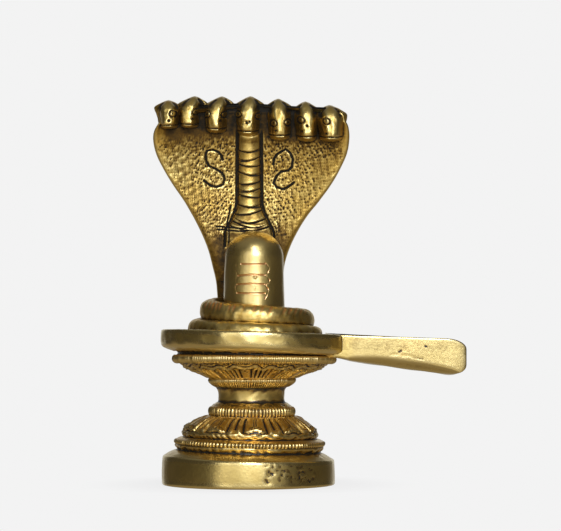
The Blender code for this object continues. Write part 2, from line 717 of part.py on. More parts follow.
def make_head(index, collection):
    across, top, height, width = head_place(index)
    scoop = HOOD_SCOOP * min(1.0, abs(across) / HOOD_HALF_WIDTH) ** 2.2
    hood_foot = SEAT_HEIGHT + HOOD_ROOT_HEIGHT
    sections = []
    alongs = (0.0, 0.1, 0.24, 0.42, 0.58, 0.74, MOUTH_PLACE, 0.91, 1.0)
    front_places = (-1.0, -0.9, -0.6, -0.22, 0.22, 0.6, 0.9, 1.0)
    for along in alongs:
        share = min((top - height * along - hood_foot) / HOOD_HEIGHT, 1.0)
        base = hood_middle(share)[0].y - scoop
        section = []
        for place in front_places:
            x, y, z = head_shape(place, along, width, height)
            section.append((NAGA_DRIFT + across + x, base - y, top + z))
        swell = math.sin(math.pi * (0.12 + 0.76 * along))
        for place in (0.5, -0.5):
            x = 0.5 * width * place * (0.4 + 0.6 * swell)
            back = base + NECK_RADIUS * (0.3 + 0.5 * swell)
            section.append((NAGA_DRIFT + across + x, back, top - height * along))
        sections.append(section)
    return loft("head", sections, collection)


def make_neck(index, collection):
    """A neck that runs down the hood's back from its head and fades into it."""
    across = head_place(index)[0]
    points = []
    radii = []
    steps = 2
    for i in range(steps + 1):
        share = 0.97 - (i / steps) * NECK_LENGTH / HOOD_HEIGHT
        middle, facing = hood_middle(share)
        place = across * hood_half_width(share) / HOOD_HALF_WIDTH
        back = hood_offsets(place, share)[1]
        sink = NECK_RADIUS * (0.1 + 0.7 * i / steps)
        points.append(middle + Vector((place, 0.0, 0.0)) + facing * (back + sink))
        radii.append(NECK_RADIUS * (1.0 - 0.55 * i / steps))
    return tube("neck", points, radii, 1, collection)


def make_mark(side, hood, collection):
    """One hooked spectacle mark, cut into the hood's face: two arcs that turn opposite ways."""
    upper_centre = Vector((0.0, MARK_ARC_RADIUS * 1.13))
    lower_centre = Vector((0.15 * MARK_ARC_RADIUS, -MARK_ARC_RADIUS * 1.13))
    outline = []
    arc_steps = 5
    for i in range(arc_steps + 1):
        angle = math.radians(-5.0 + 225.0 * i / arc_steps)
        outline.append(upper_centre + MARK_ARC_RADIUS * Vector((math.cos(angle), math.sin(angle))))
    for i in range(arc_steps + 1):
        angle = math.radians(55.0 - 210.0 * i / arc_steps)
        outline.append(lower_centre + MARK_ARC_RADIUS * Vector((math.cos(angle), math.sin(angle))))
    centre = hood_middle(MARK_PLACE)[0]
    ahead = Vector((0.0, -HOOD_HALF_WIDTH, 0.0))
    points = []
    for spot in outline:
        above = centre + Vector((side * (MARK_DISTANCE - spot.x), 0.0, spot.y))
        found, point, normal, face = hood.ray_cast(above + ahead, -ahead)
        points.append(point)
    return as_cutter(tube("mark", points, [0.5 * MARK_LINE_WIDTH] * len(points), 0, collection))


def make_floor_cutter(collection):
    """A block whose top is the basin's floor with the gap added."""
    shape = bmesh.new()
    bmesh.ops.create_cube(shape, size=1.0)
    size = 4.0 * BASIN_RADIUS
    for corner in shape.verts:
        corner.co.x *= size
        corner.co.y *= size
        corner.co.z = (corner.co.z - 0.5) * size + SEAT_HEIGHT + SEAT_GAP
    return as_cutter(mesh_object("floor_gap", shape, collection))


def make_naga(collection, tools):
    naga = make_hood(collection)
    for side in (-1, 1):
        combine(naga, make_mark(side, naga, tools), "DIFFERENCE")
    combine(naga, make_belly(tools), "UNION")
    for index in range(HEAD_COUNT):
        combine(naga, make_neck(index, tools), "UNION", solver="MANIFOLD")
        combine(naga, make_head(index, tools), "UNION", solver="MANIFOLD")
    coil = make_coil(tools)
    combine(coil, make_floor_cutter(tools), "DIFFERENCE", folded=True)
    combine(naga, coil, "UNION", solver="MANIFOLD")
    bore = as_cutter(turned("lingam_gap", lingam_profile(SEAT_GAP), LINGAM_STEPS, tools))
    for corner in bore.data.vertices:
        corner.co.x += BASIN_DRIFT
    combine(naga, bore, "DIFFERENCE", solver="MANIFOLD")
    naga.data.materials.append(brass("naga_brass", (0.60, 0.43, 0.15), 0.36))
    return naga


def main():
    clear_scene()
    parts = new_collection("shiva_lingam")
    tools = new_collection("cutters")
    for part in (make_pedestal(parts, tools), make_lingam(parts, tools), make_naga(parts, tools)):
        part.data.shade_smooth()
        part.data.set_sharp_from_angle(angle=math.radians(35.0))


main()
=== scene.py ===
# %% [markdown]
# # A small brass shiva lingam
# A hand-cast brass figure, ten centimetres tall: a turned lotus pedestal with a basin and a
# spout, the smooth domed lingam that stands in it, and a seven-headed cobra coiled round it.
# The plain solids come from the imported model. This file dresses them: each is replaced by a
# dense mesh that carries the carving, and then by brass with dirt in its hollows.
# %% Load the solid model
import math

import bmesh
import bpy
import numpy as np
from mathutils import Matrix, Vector
from mathutils.bvhtree import BVHTree


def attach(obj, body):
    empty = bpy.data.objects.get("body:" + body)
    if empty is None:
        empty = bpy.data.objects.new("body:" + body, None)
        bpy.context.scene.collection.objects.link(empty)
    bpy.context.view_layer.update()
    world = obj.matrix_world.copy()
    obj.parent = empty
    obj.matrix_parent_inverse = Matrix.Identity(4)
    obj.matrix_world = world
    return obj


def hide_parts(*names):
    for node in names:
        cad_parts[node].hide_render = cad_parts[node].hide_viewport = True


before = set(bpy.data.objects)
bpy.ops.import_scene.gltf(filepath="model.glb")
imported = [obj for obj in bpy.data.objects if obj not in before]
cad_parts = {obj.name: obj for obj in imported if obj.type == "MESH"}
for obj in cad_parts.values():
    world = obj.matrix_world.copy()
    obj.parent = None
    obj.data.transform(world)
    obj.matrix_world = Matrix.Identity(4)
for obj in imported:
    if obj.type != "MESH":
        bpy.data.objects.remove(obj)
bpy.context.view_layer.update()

MM = 0.001

# %% [markdown]
# ## The camera
# The photograph was taken from about ninety centimetres away, with the lens level and at half
# the figure's height. A long lens from that distance keeps the ellipses of the pedestal almost
# flat. The camera is made first, because everything after it is judged through it.
# %% Camera
CAMERA_DISTANCE = 0.895
CAMERA_SIDE = 0.0082
CAMERA_HEIGHT = 0.056
LENS = 224.6
SENSOR_WIDTH = 36.0

camera = bpy.data.objects.new("camera", bpy.data.cameras.new("camera"))
camera.data.lens = LENS
camera.data.sensor_width = SENSOR_WIDTH
camera.location = (CAMERA_SIDE, -CAMERA_DISTANCE, CAMERA_HEIGHT)
camera.rotation_euler = (0.5 * math.pi, 0.0, 0.0)
bpy.context.collection.objects.link(camera)
bpy.context.scene.camera = camera
print("camera with a", LENS, "mm lens")

# %% [markdown]
# ## Smooth curves and unevenness
# Two helpers shape everything. The first reads a smooth curve through a few measured points.
# The second is a soft waviness: a sum of sine waves in random directions, with a fixed seed, so
# that hand-made surfaces aren't ruler straight and come out the same on every run.
# %% Curve and waviness helpers
TURN = 2.0 * math.pi


def follow(points, position):
    """A smooth curve through a few points (position, value), read at one place or at many."""
    knots = np.array([point[0] for point in points], float)
    values = np.array([point[1] for point in points], float)
    last = len(points) - 1
    place = np.clip(np.asarray(position, float), knots[0], knots[last])
    start = np.clip(np.searchsorted(knots, place, side="right") - 1, 0, last - 1)
    before = np.maximum(start - 1, 0)
    end = start + 1
    after = np.minimum(start + 2, last)
    span = knots[end] - knots[start]
    slope_in = (values[end] - values[before]) / (knots[end] - knots[before]) * span
    slope_out = (values[after] - values[start]) / (knots[after] - knots[start]) * span
    t = (place - knots[start]) / span
    return (
        (2 * t**3 - 3 * t**2 + 1) * values[start]
        + (t**3 - 2 * t**2 + t) * slope_in
        + (3 * t**2 - 2 * t**3) * values[end]
        + (t**3 - t**2) * slope_out
    )


def ease(low, high, value):
    """0 below low, 1 above high, and a soft step between. It falls where high is under low."""
    t = np.clip((np.asarray(value, float) - low) / (high - low), 0.0, 1.0)
    return t * t * (3.0 - 2.0 * t)


def waver(places, size, seed, waves=8):
    """Soft random waves of about this size, mostly between -1 and 1."""
    dice = np.random.default_rng(seed)
    total = np.zeros(places.shape[:-1])
    for _ in range(waves):
        direction = dice.normal(size=places.shape[-1])
        direction *= dice.uniform(0.6, 1.5) / (np.linalg.norm(direction) * size)
        total += np.sin(places @ direction * TURN + dice.uniform(0.0, TURN))
    return total / math.sqrt(waves)


def bump(distance, reach):
    """A rounded ridge: 1 on its line, fading within this reach."""
    return np.exp(-((distance / reach) ** 2))


def distance_to_line(across, height, line):
    """Distance from each place to a line of straight pieces."""
    best = np.full(across.shape, 1e9)
    for (x0, z0), (x1, z1) in zip(line, line[1:]):
        length = (x1 - x0) ** 2 + (z1 - z0) ** 2
        t = np.clip(((across - x0) * (x1 - x0) + (height - z0) * (z1 - z0)) / length, 0.0, 1.0)
        best = np.minimum(best, np.hypot(across - x0 - t * (x1 - x0), height - z0 - t * (z1 - z0)))
    return best


print("a curve through (0, 0), (1, 1), (2, 0) is", follow(((0, 0), (1, 1), (2, 0)), 0.5), "at 0.5")

# %% [markdown]
# ## Skins from rings
# Every dense shape here is a skin over rings of points. Fine beads need many points in a ring,
# and a plain disc needs few, so two neighbouring rings may have different counts. The helper
# then walks round both at once and fills the gap with triangles.
# %% Skin helpers


def bridge(first, first_count, second, second_count):
    """Faces between two closed rings of corners, given by their first number and their count."""
    if first_count == second_count:
        here = np.arange(first_count)
        there = (here + 1) % first_count
        return np.stack((first + here, first + there, second + there, second + here), axis=1).tolist()
    faces = []
    i = 0
    k = 0
    while i < first_count or k < second_count:
        if k == second_count or (i < first_count and (i + 1) * second_count <= (k + 1) * first_count):
            if first_count > 1:
                faces.append((first + i, first + (i + 1) % first_count, second + k % second_count))
            i += 1
        else:
            if second_count > 1:
                faces.append((first + i % first_count, second + (k + 1) % second_count, second + k))
            k += 1
    return faces


def mesh_object(name, points, faces):
    """An object in metres from points in millimetres, with its faces looking outward."""
    mesh = bpy.data.meshes.new(name)
    mesh.from_pydata((np.asarray(points) * MM).tolist(), [], faces)
    shape = bmesh.new()
    shape.from_mesh(mesh)
    bmesh.ops.recalc_face_normals(shape, faces=shape.faces)
    if shape.calc_volume(signed=True) < 0.0:
        bmesh.ops.reverse_faces(shape, faces=shape.faces)
    shape.to_mesh(mesh)
    shape.free()
    thing = bpy.data.objects.new(name, mesh)
    bpy.context.collection.objects.link(thing)
    return thing


def skin(name, rings):
    """A closed skin over rings of points. The first and the last ring are single points."""
    starts = np.cumsum([0] + [len(ring) for ring in rings])
    faces = []
    for i in range(len(rings) - 1):
        faces += bridge(int(starts[i]), len(rings[i]), int(starts[i + 1]), len(rings[i + 1]))
    return mesh_object(name, np.concatenate(rings), faces)


def capped(rings):
    """The rings, with the middle of the first and of the last as single points at the ends."""
    return [rings[0].mean(axis=0)[None], *rings, rings[-1].mean(axis=0)[None]]


def outline_steps(path, rows):
    """Even steps along a smooth line through a few points (radius, height)."""
    path = np.array(path, float)
    legs = np.hypot(path[1:, 0] - path[:-1, 0], path[1:, 1] - path[:-1, 1])
    run = np.concatenate(([0.0], np.cumsum(legs)))
    place = np.linspace(0.0, run[-1], rows)
    radius = follow(list(zip(run, path[:, 0])), place)
    height = follow(list(zip(run, path[:, 1])), place)
    return radius, height, place


def level_ring(radius, height, angle):
    """Points round the axis, with the angle counted from the front."""
    return np.stack((radius * np.sin(angle), -radius * np.cos(angle), height), axis=1)


def turned_rings(path, rows, steps, relief=None):
    """Rings of one turned band, from below up, without its last row.

    The relief is a function of the angle from the front, the way along the outline and the
    radius, all arrays, and gives how far the surface stands out.
    """
    radius, height, run = outline_steps(path, rows)
    rise_r = np.gradient(radius)
    rise_z = np.gradient(height)
    size = np.hypot(rise_r, rise_z)
    angle = np.arange(steps) / steps * TURN
    rings = []
    for k in range(rows - 1):
        lift = np.zeros(steps)
        if relief:
            lift = relief(angle, run[k], run[-1], radius[k])
        out = radius[k] + lift * rise_z[k] / size[k]
        up = height[k] - lift * rise_r[k] / size[k]
        rings.append(level_ring(out, up, angle))
    return rings


def point_count(thing):
    return len(thing.data.vertices)


print("a ring of 4 and a ring of 6 are joined by", len(bridge(0, 4, 4, 6)), "triangles")

# %% [markdown]
# ## Foot and lower ring
# The foot is a plain disc, filed by hand, with a cluster of casting pits at its right front. The
# ring on it has a smooth band below and a row of punched beads above. A bead row is cheap to
# shape: the absolute value of a sine round the turn, faded out at both edges of its band.
# %% Foot, shoulder and bead row
BEAD_COUNT = 124
PIT_COUNT = 44


def places_round(angle, run, radius):
    """The places of one row of a turned band, so that a waviness joins up round the turn."""
    return np.stack((radius * np.sin(angle), radius * np.cos(angle), 0.0 * angle + run), axis=1)


def edge_fade(run, total, power):
    """0 at both edges of a band and 1 in its middle. A small power keeps it near 1 for longer."""
    return math.sin(math.pi * run / total) ** power


def uneven(amount, size, seed):
    """A relief that is only hand-made waviness."""

    def relief(angle, run, total, radius):
        return amount * edge_fade(run, total, 0.5) * waver(places_round(angle, run, radius), size, seed)

    return relief


def ribbed(count, height, sharpness, seed):
    """A relief of upright ribs or beads, each a little different from the next."""

    def relief(angle, run, total, radius):
        fade = edge_fade(run, total, 0.45)
        turn = np.stack((np.sin(angle), np.cos(angle)), axis=1)
        shift = 0.012 * waver(turn, 0.4, seed)
        ribs = np.abs(np.sin(0.5 * count * (angle + shift))) ** sharpness
        strength = 1.0 + 0.28 * waver(turn, 0.22, seed + 1)
        return height * fade * strength * (ribs - 0.45)

    return relief


def foot_relief(angle, run, total, radius):
    """Faint file marks, and the pits at the right front."""
    lift = 0.035 * waver(places_round(angle, run, radius), 5.0, 3)
    dice = np.random.default_rng(11)
    for _ in range(PIT_COUNT):
        pit_angle = dice.uniform(0.19, 0.85)
        pit_run = dice.uniform(0.25, 0.92) * total
        away = np.hypot((angle - pit_angle) * radius, run - pit_run)
        lift -= dice.uniform(0.08, 0.22) * bump(away, dice.uniform(0.22, 0.5))
    return edge_fade(run, total, 0.5) * lift


pedestal_rings = [np.array([(0.0, 0.0, 0.0)])]
pedestal_rings += turned_rings(((7.0, 0.0), (21.5, 0.0)), 4, 120)
foot_path = (
    (21.5, 0.0), (21.9, 0.1), (22.08, 0.4), (22.1, 1.2), (22.1, 2.8),
    (22.05, 4.4), (21.97, 5.8), (21.9, 6.7), (21.72, 7.0), (21.3, 7.22),
)
pedestal_rings += turned_rings(foot_path, 22, 280, foot_relief)
shoulder_path = ((21.3, 7.22), (20.4, 7.78), (19.2, 8.36), (18.55, 8.58))
pedestal_rings += turned_rings(shoulder_path, 8, 280, uneven(0.05, 4.0, 5))
ring_foot_path = ((18.55, 8.58), (18.3, 8.7), (18.45, 9.0), (18.85, 9.5), (19.0, 9.95), (18.85, 10.2))
pedestal_rings += turned_rings(ring_foot_path, 10, 300, uneven(0.11, 2.6, 6))
bead_path = ((18.85, 10.2), (19.05, 10.45), (19.15, 10.8), (19.05, 11.15), (18.75, 11.42))
pedestal_rings += turned_rings(bead_path, 9, 6 * BEAD_COUNT, ribbed(BEAD_COUNT, 0.42, 0.7, 7))
ring_top_path = ((18.75, 11.42), (18.3, 11.68), (17.5, 12.0), (16.8, 12.02))
pedestal_rings += turned_rings(ring_top_path, 6, 300, uneven(0.06, 3.0, 8))
print("foot and lower ring:", sum(len(ring) for ring in pedestal_rings), "points")

# %% [markdown]
# ## The two lotus tiers
# Ten petals lie on the lower cushion and twelve flare under the basin. A petal is a wide panel
# with a deep groove on each side, two bars, and a groove halfway to the next petal. Its lower
# end has a small curled ornament. Each feature is a distance to a line, turned into a ridge or
# a trench, so that the carving is drawn the way a chaser's punch would follow it.
# %% Lotus carving
LOWER_PETALS = 10
UPPER_PETALS = 12
LOWER_PETAL_PHASE = math.radians(5.3)
UPPER_PETAL_PHASE = math.radians(-7.0)
# How far aside and up each ring of the curled ornament lies, its radius and its strength
CURLS = ((0.0, 3.2, 0.5, 0.4), (-1.1, 2.75, 0.42, 0.3), (1.1, 2.75, 0.42, 0.3))


def petal_places(angle, radius, count, phase):
    """The share -0.5..0.5 across a petal and its bars, the same in millimetres, and its number."""
    turns = (angle - phase) / TURN * count
    number = np.round(turns)
    share = turns - number
    return share, share * TURN * radius / count, number


def lower_lotus_relief(angle, run, total, radius):
    """Wide petals with two bars between them, and a curled ornament at each petal's lower end."""
    places = places_round(angle, run, radius)
    share, across, number = petal_places(angle, radius, LOWER_PETALS, LOWER_PETAL_PHASE)
    pitch = TURN * radius / LOWER_PETALS
    away = np.abs(share)
    shift = 0.25 * np.sin(2.7 * number + 0.6)
    open_low = ease(1.7, 2.3, run)
    open_high = ease(total - 0.5, total - 1.1, run)
    opened = open_low * open_high
    panel = ease(0.285, 0.24, away)
    lift = 0.1 + 0.16 * panel * open_low * np.cos(math.pi * share / 0.62)
    lift = lift - 0.8 * opened * bump((away - 0.292) * pitch, 0.36)
    middle = ease(2.7, 3.6, run) * open_high
    lift = lift - 0.75 * middle * bump((away - 0.5) * pitch, 0.36)
    lift = lift + 0.2 * opened * bump((away - 0.4) * pitch, 0.4)
    # The panel's lower end: a dark line in two lobes, and a bright lip above it
    lobe = 1.8 + 0.35 * np.abs(np.cos(math.pi * across / 3.4)) + 0.4 * shift
    lift = lift - 0.5 * panel * bump(run - lobe, 0.24)
    lift = lift + 0.24 * panel * bump(run - lobe - 0.45, 0.22)
    # The curled ornament above the lip
    for side, high, size, strength in CURLS:
        ring = np.hypot(across - side - 0.3 * shift, run - high - 0.5 * shift) - size
        lift = lift + strength * panel * bump(ring, 0.19)
    slit = ease(4.1, 4.6, run) * ease(total - 1.4, total - 2.6, run)
    lift = lift - 0.26 * slit * bump(np.abs(across) - 0.27, 0.17)
    # The uneven rim below the petals
    rim = ease(2.0, 1.4, run) * ease(0.2, 0.8, run)
    lift = lift + rim * (0.2 * waver(places, 1.5, 21) + 0.12 * np.cos(2.0 * TURN * share))
    return lift * edge_fade(run, total, 0.3) + 0.05 * waver(places, 2.4, 22)


def upper_lotus_relief(angle, run, total, radius):
    """Narrow flaring petals that end in a fringe of curled folds."""
    places = places_round(angle, run, radius)
    share, across, number = petal_places(angle, radius, UPPER_PETALS, UPPER_PETAL_PHASE)
    pitch = TURN * radius / UPPER_PETALS
    away = np.abs(share)
    shift = 0.3 * np.sin(3.1 * number + 1.0)
    opened = ease(0.3, 0.9, run) * ease(6.4 + shift, 5.6 + shift, run)
    lift = 0.0 * angle + 0.12
    for place, depth in ((0.19, 0.75), (0.345, 0.6), (0.5, 0.75)):
        lift = lift - depth * opened * bump((away - place) * pitch, 0.35)
    for place in (0.265, 0.425):
        lift = lift + 0.16 * opened * bump((away - place) * pitch, 0.34)
    # The fringe of curled folds along the top
    fold = 6.9 + 0.5 * shift + 0.9 * ease(0.02, 0.3, away) - 1.4 * ease(0.3, 0.5, away)
    lift = lift + 0.42 * bump(run - fold, 0.36)
    lift = lift - 0.36 * bump(run - fold - 0.75, 0.28)
    lift = lift + 0.26 * bump(run - fold - 1.3, 0.3)
    curl = np.hypot(across, run - 5.6 - shift) - 0.55
    lift = lift + 0.26 * bump(curl, 0.2)
    lift = lift + 0.13 * ease(4.8, 6.0, run) * waver(places, 1.1, 31)
    return lift * edge_fade(run, total, 0.3) + 0.05 * waver(places, 2.2, 32)


lower_lotus_path = (
    (16.8, 12.02), (16.95, 12.25), (17.2, 12.7), (17.3, 13.15), (17.2, 13.6), (16.75, 14.2),
    (15.9, 14.96), (15.0, 15.65), (14.05, 16.3), (12.7, 17.05), (11.6, 17.5), (10.65, 17.55),
)
pedestal_rings += turned_rings(lower_lotus_path, 37, 540, lower_lotus_relief)
print("lower lotus:", LOWER_PETALS, "petals,", sum(len(ring) for ring in pedestal_rings), "points so far")

# %% [markdown]
# ## Middle ring, waist and upper ring
# Between the lotuses stands a smooth waist that was polished by turning, with a coarsely ribbed
# ring under it and a finely ribbed one over it. Each band is its own strip with as many steps
# round as its ribs need: six for a coarse rib, four for a fine one.
# %% Rings and waist
MIDDLE_RIBS = 74
UPPER_RIBS = 120
BASIN_RIBS = 232

middle_ring_path = ((10.65, 17.55), (10.8, 17.95), (10.92, 18.7), (10.85, 19.4), (10.45, 20.0))
pedestal_rings += turned_rings(middle_ring_path, 11, 6 * MIDDLE_RIBS, ribbed(MIDDLE_RIBS, 0.5, 0.85, 41))
bevel_path = ((10.45, 20.0), (9.8, 20.45), (9.1, 20.9), (8.7, 21.1))
pedestal_rings += turned_rings(bevel_path, 6, 200, uneven(0.07, 2.0, 42))
waist_path = (
    (8.7, 21.1), (8.5, 21.5), (8.44, 22.2), (8.44, 23.3), (8.62, 24.2), (8.95, 24.75), (9.2, 24.95),
)
pedestal_rings += turned_rings(waist_path, 12, 200, uneven(0.06, 2.6, 43))
upper_ring_path = ((9.2, 24.95), (9.9, 25.5), (10.65, 26.1), (11.05, 26.6), (11.05, 27.0), (10.7, 27.15))
pedestal_rings += turned_rings(upper_ring_path, 10, 4 * UPPER_RIBS, ribbed(UPPER_RIBS, 0.42, 0.8, 44))
upper_lotus_path = (
    (10.7, 27.15), (11.6, 27.35), (13.0, 28.05), (14.9, 28.85),
    (16.4, 29.55), (17.8, 30.3), (18.6, 30.8), (19.0, 31.0),
)
pedestal_rings += turned_rings(upper_lotus_path, 31, 576, upper_lotus_relief)
basin_ring_path = (
    (19.0, 31.0), (19.9, 31.1), (20.6, 31.45), (20.85, 31.95), (20.8, 32.5), (20.4, 32.9), (20.0, 33.0),
)
pedestal_rings += turned_rings(basin_ring_path, 9, 4 * BASIN_RIBS, ribbed(BASIN_RIBS, 0.42, 0.7, 45))
bevel_path = ((20.0, 33.0), (19.7, 33.05), (19.55, 33.12), (19.5, 33.25))
pedestal_rings += turned_rings(bevel_path, 4, 300, uneven(0.05, 1.7, 46))
print("up to the basin:", sum(len(ring) for ring in pedestal_rings), "points")

# %% [markdown]
# ## Basin and spout
# The basin is a shallow dish with an upright wall, and water leaves it along the spout. The dish
# is the last band of the turning, from its underside over the rim to the floor that the lingam
# stands on. Its surfaces are nearly plain, so a few rows of points are enough for each.
# %% Basin
SEAT_RADIUS = 17.8
SEAT_HEIGHT = 36.9
RIM_HEIGHT = 38.9
BASIN_RADIUS = 23.9

underside_path = (
    (19.5, 33.25), (19.55, 33.5), (19.9, 33.58), (20.6, 33.64),
    (21.8, 33.84), (22.9, 34.18), (23.45, 34.45), (23.7, 34.8),
)
pedestal_rings += turned_rings(underside_path, 9, 280, uneven(0.06, 3.0, 47))
wall_path = ((23.7, 34.8), (23.8, 35.6), (23.8, 37.0), (23.78, 38.2), (23.65, 38.7), (23.3, 38.88))
pedestal_rings += turned_rings(wall_path, 12, 320, uneven(0.07, 4.5, 48))
rim_path = ((23.3, 38.88), (22.9, 38.9), (22.3, 38.9), (21.9, 38.8))
pedestal_rings += turned_rings(rim_path, 6, 280, uneven(0.05, 3.0, 49))
inside_path = ((21.9, 38.8), (21.7, 38.1), (21.5, 37.3), (21.1, 37.0), (20.4, 36.92), (19.0, SEAT_HEIGHT))
pedestal_rings += turned_rings(inside_path, 10, 220, uneven(0.03, 3.0, 50))
pedestal_rings += turned_rings(((19.0, SEAT_HEIGHT), (SEAT_RADIUS, SEAT_HEIGHT), (3.0, SEAT_HEIGHT)), 9, 120)
pedestal_rings.append(np.array([(0.0, 0.0, SEAT_HEIGHT)]))
pedestal = skin("yoni_pedestal_brass", pedestal_rings)
print("pedestal without its spout:", point_count(pedestal), "points")

# %% [markdown]
# ## The spout's sections
# The spout is a loft: a skin over sections that narrow a little and grow deeper towards a rounded
# tip. One function gives the section at any distance from the basin's axis, so there can be many
# close ones where small casting cracks mark the side. The lower edges are filed to a chamfer.
# %% Spout
BASIN_DRIFT = 1.45
SPOUT_LENGTH = 54.0
SPOUT_START = 18.3
SPOUT_TIP_ROUND = 5.0
SPOUT_CHAMFER = 1.8
SPOUT_ROOT_HALF_WIDTH = 8.2
SPOUT_TIP_HALF_WIDTH = 6.8
SPOUT_ROOT_DEPTH = 6.4
SPOUT_TIP_DEPTH = 9.6


def rounded_loop(corners, rounds, flats):
    """A loop with each corner rounded off and each straight side cut into a few steps."""
    corners = [np.array(corner, float) for corner in corners]
    count = len(corners)
    ends = []
    for i in range(count):
        before = corners[i - 1] - corners[i]
        after = corners[(i + 1) % count] - corners[i]
        start = corners[i] + before * min(0.45, rounds[i] / np.linalg.norm(before))
        end = corners[i] + after * min(0.45, rounds[i] / np.linalg.norm(after))
        ends.append((start, end))
    points = []
    for i in range(count):
        start, end = ends[i]
        for t in np.linspace(0.0, 1.0, 6):
            points.append((1 - t) ** 2 * start + 2 * t * (1 - t) * corners[i] + t * t * end)
        leave = ends[(i + 1) % count][0]
        for t in np.linspace(0.0, 1.0, flats[i] + 2)[1:-1]:
            points.append(end + (leave - end) * t)
    return np.array(points)


def spout_loop(distance):
    """The spout's section at a distance from the basin's axis, as points (x, y, z)."""
    share = max(0.0, (distance - BASIN_RADIUS) / (SPOUT_LENGTH - BASIN_RADIUS))
    half = SPOUT_ROOT_HALF_WIDTH + (SPOUT_TIP_HALF_WIDTH - SPOUT_ROOT_HALF_WIDTH) * share
    depth = SPOUT_ROOT_DEPTH + (SPOUT_TIP_DEPTH - SPOUT_ROOT_DEPTH) * share**0.9
    wall = depth - 0.25 - SPOUT_CHAMFER * math.sin(math.pi * share) ** 0.6
    into_tip = max(0.0, distance - (SPOUT_LENGTH - SPOUT_TIP_ROUND)) / SPOUT_TIP_ROUND
    curl = 1.0 - math.sqrt(max(0.0, 1.0 - into_tip**2))
    top = RIM_HEIGHT - 0.5 * SPOUT_TIP_ROUND * curl
    bottom = RIM_HEIGHT - depth + 0.6 * SPOUT_TIP_ROUND * curl
    wall_foot = max(RIM_HEIGHT - wall, bottom + 0.15)
    half -= 0.12 * SPOUT_TIP_ROUND * curl
    keel = half - 1.2 * (wall_foot - bottom) - 0.1
    left = ((-half, top), (-half, wall_foot), (-keel, bottom))
    corners = left + ((keel, bottom), (half, wall_foot), (half, top))
    loop = rounded_loop(corners, (0.4, 0.8, 0.9, 0.9, 0.8, 0.4), (14, 3, 4, 3, 4, 4))
    return np.column_stack((np.full(len(loop), distance), loop))


SPOUT_CRACKS = (
    ((36.3, 32.9), (37.8, 33.2)), ((38.2, 33.7), (38.8, 34.1)),
    ((38.9, 32.95), (41.0, 32.85), (41.6, 32.65), (44.3, 32.2)), ((44.95, 35.5), (45.1, 35.45)),
    ((40.65, 31.9), (40.75, 31.9)), ((42.2, 31.85), (42.3, 31.85)),
)
CRACK_WIDTH = 0.2

stations = list(np.linspace(SPOUT_START, SPOUT_LENGTH - SPOUT_TIP_ROUND, 96))
stations += [SPOUT_LENGTH - SPOUT_TIP_ROUND * (1.0 - math.sin(0.5 * math.pi * i / 12)) for i in range(1, 13)]
loops = [spout_loop(distance) for distance in stations]
for loop in loops:
    loop[:, 1] += 0.02 * np.sign(loop[:, 1]) * waver(loop, 9.0, 61) * ease(24.0, 27.0, loop[:, 0])
    for crack in SPOUT_CRACKS:
        away = distance_to_line(loop[:, 0] + BASIN_DRIFT, loop[:, 2] - 1.3, crack)
        loop[:, 1] += 0.09 * (loop[:, 1] < -5.0) * bump(away, CRACK_WIDTH)
    loop[:, 2] += 0.06 * waver(loop, 12.0, 62) * ease(RIM_HEIGHT - 1.0, RIM_HEIGHT - 5.0, loop[:, 2])
spout = skin("spout", capped(loops))
print("spout:", point_count(spout), "points")

# %% [markdown]
# ## Joining and cutting
# A Boolean joins two closed meshes, or cuts one out of the other. The spout starts inside the
# dish's wall, so no gap shows where they meet. The channel is cut with a long round bar that
# reaches through the wall, which is how a real one would be filed out.
# %% Join the spout and cut the channel
CHANNEL_RADIUS = 4.2
CHANNEL_DEPTH = 2.3
CHANNEL_STEPS = 72


def combine(thing, other, operation):
    """Joins another closed skin to this one, or cuts it out, and drops the other."""
    step = thing.modifiers.new(operation.title(), "BOOLEAN")
    step.operation = operation
    step.solver = "MANIFOLD"
    step.object = other
    bpy.context.view_layer.update()
    graph = bpy.context.evaluated_depsgraph_get()
    mesh = bpy.data.meshes.new_from_object(thing.evaluated_get(graph))
    thing.modifiers.clear()
    thing.data = mesh
    bpy.data.objects.remove(other, do_unlink=True)


channel_angle = np.arange(CHANNEL_STEPS) / CHANNEL_STEPS * TURN
channel_rings = []
for distance in (SEAT_RADIUS + 0.8, SPOUT_LENGTH + SPOUT_TIP_ROUND):
    across = CHANNEL_RADIUS * np.cos(channel_angle)
    height = RIM_HEIGHT - CHANNEL_DEPTH + CHANNEL_RADIUS + CHANNEL_RADIUS * np.sin(channel_angle)
    channel_rings.append(np.column_stack((np.full(CHANNEL_STEPS, distance), across, height)))
combine(pedestal, spout, "UNION")
combine(pedestal, skin("channel", capped(channel_rings)), "DIFFERENCE")
print("pedestal with spout and channel:", point_count(pedestal), "points")

# %% [markdown]
# ## The hand-made lean
# The figure isn't true. Its basin sits to the right of its foot and tips down towards the spout,
# because wax models are pressed together by hand. Small drifts and tilts are applied to the
# finished skin, tier by tier, by height. The spout hangs low beside other tiers, so it takes the
# basin's lean over its whole depth. The same step marks where the skin is carved, pitted or
# rubbed, while the points still stand true.
# %% Lean of the tiers
BASIN_LEAN = 1.9
# height, drift to the right, and the tilts to the right and to the back in degrees
TIER_TILTS = (
    (0.0, 0.0, 0.0, 0.0), (7.2, 0.0, 1.5, 0.0), (11.8, 0.25 * BASIN_DRIFT, 1.1, 0.0),
    (16.5, 0.3 * BASIN_DRIFT, 0.7, 0.0), (18.0, 0.6 * BASIN_DRIFT, 0.44, 0.0),
    (24.8, 0.5 * BASIN_DRIFT, 0.0, 0.38), (31.0, BASIN_DRIFT, 0.3, 1.52),
    (33.0, BASIN_DRIFT, 0.6, 1.6), (33.6, BASIN_DRIFT, BASIN_LEAN, BASIN_LEAN),
    (38.9, BASIN_DRIFT, BASIN_LEAN, BASIN_LEAN),
)


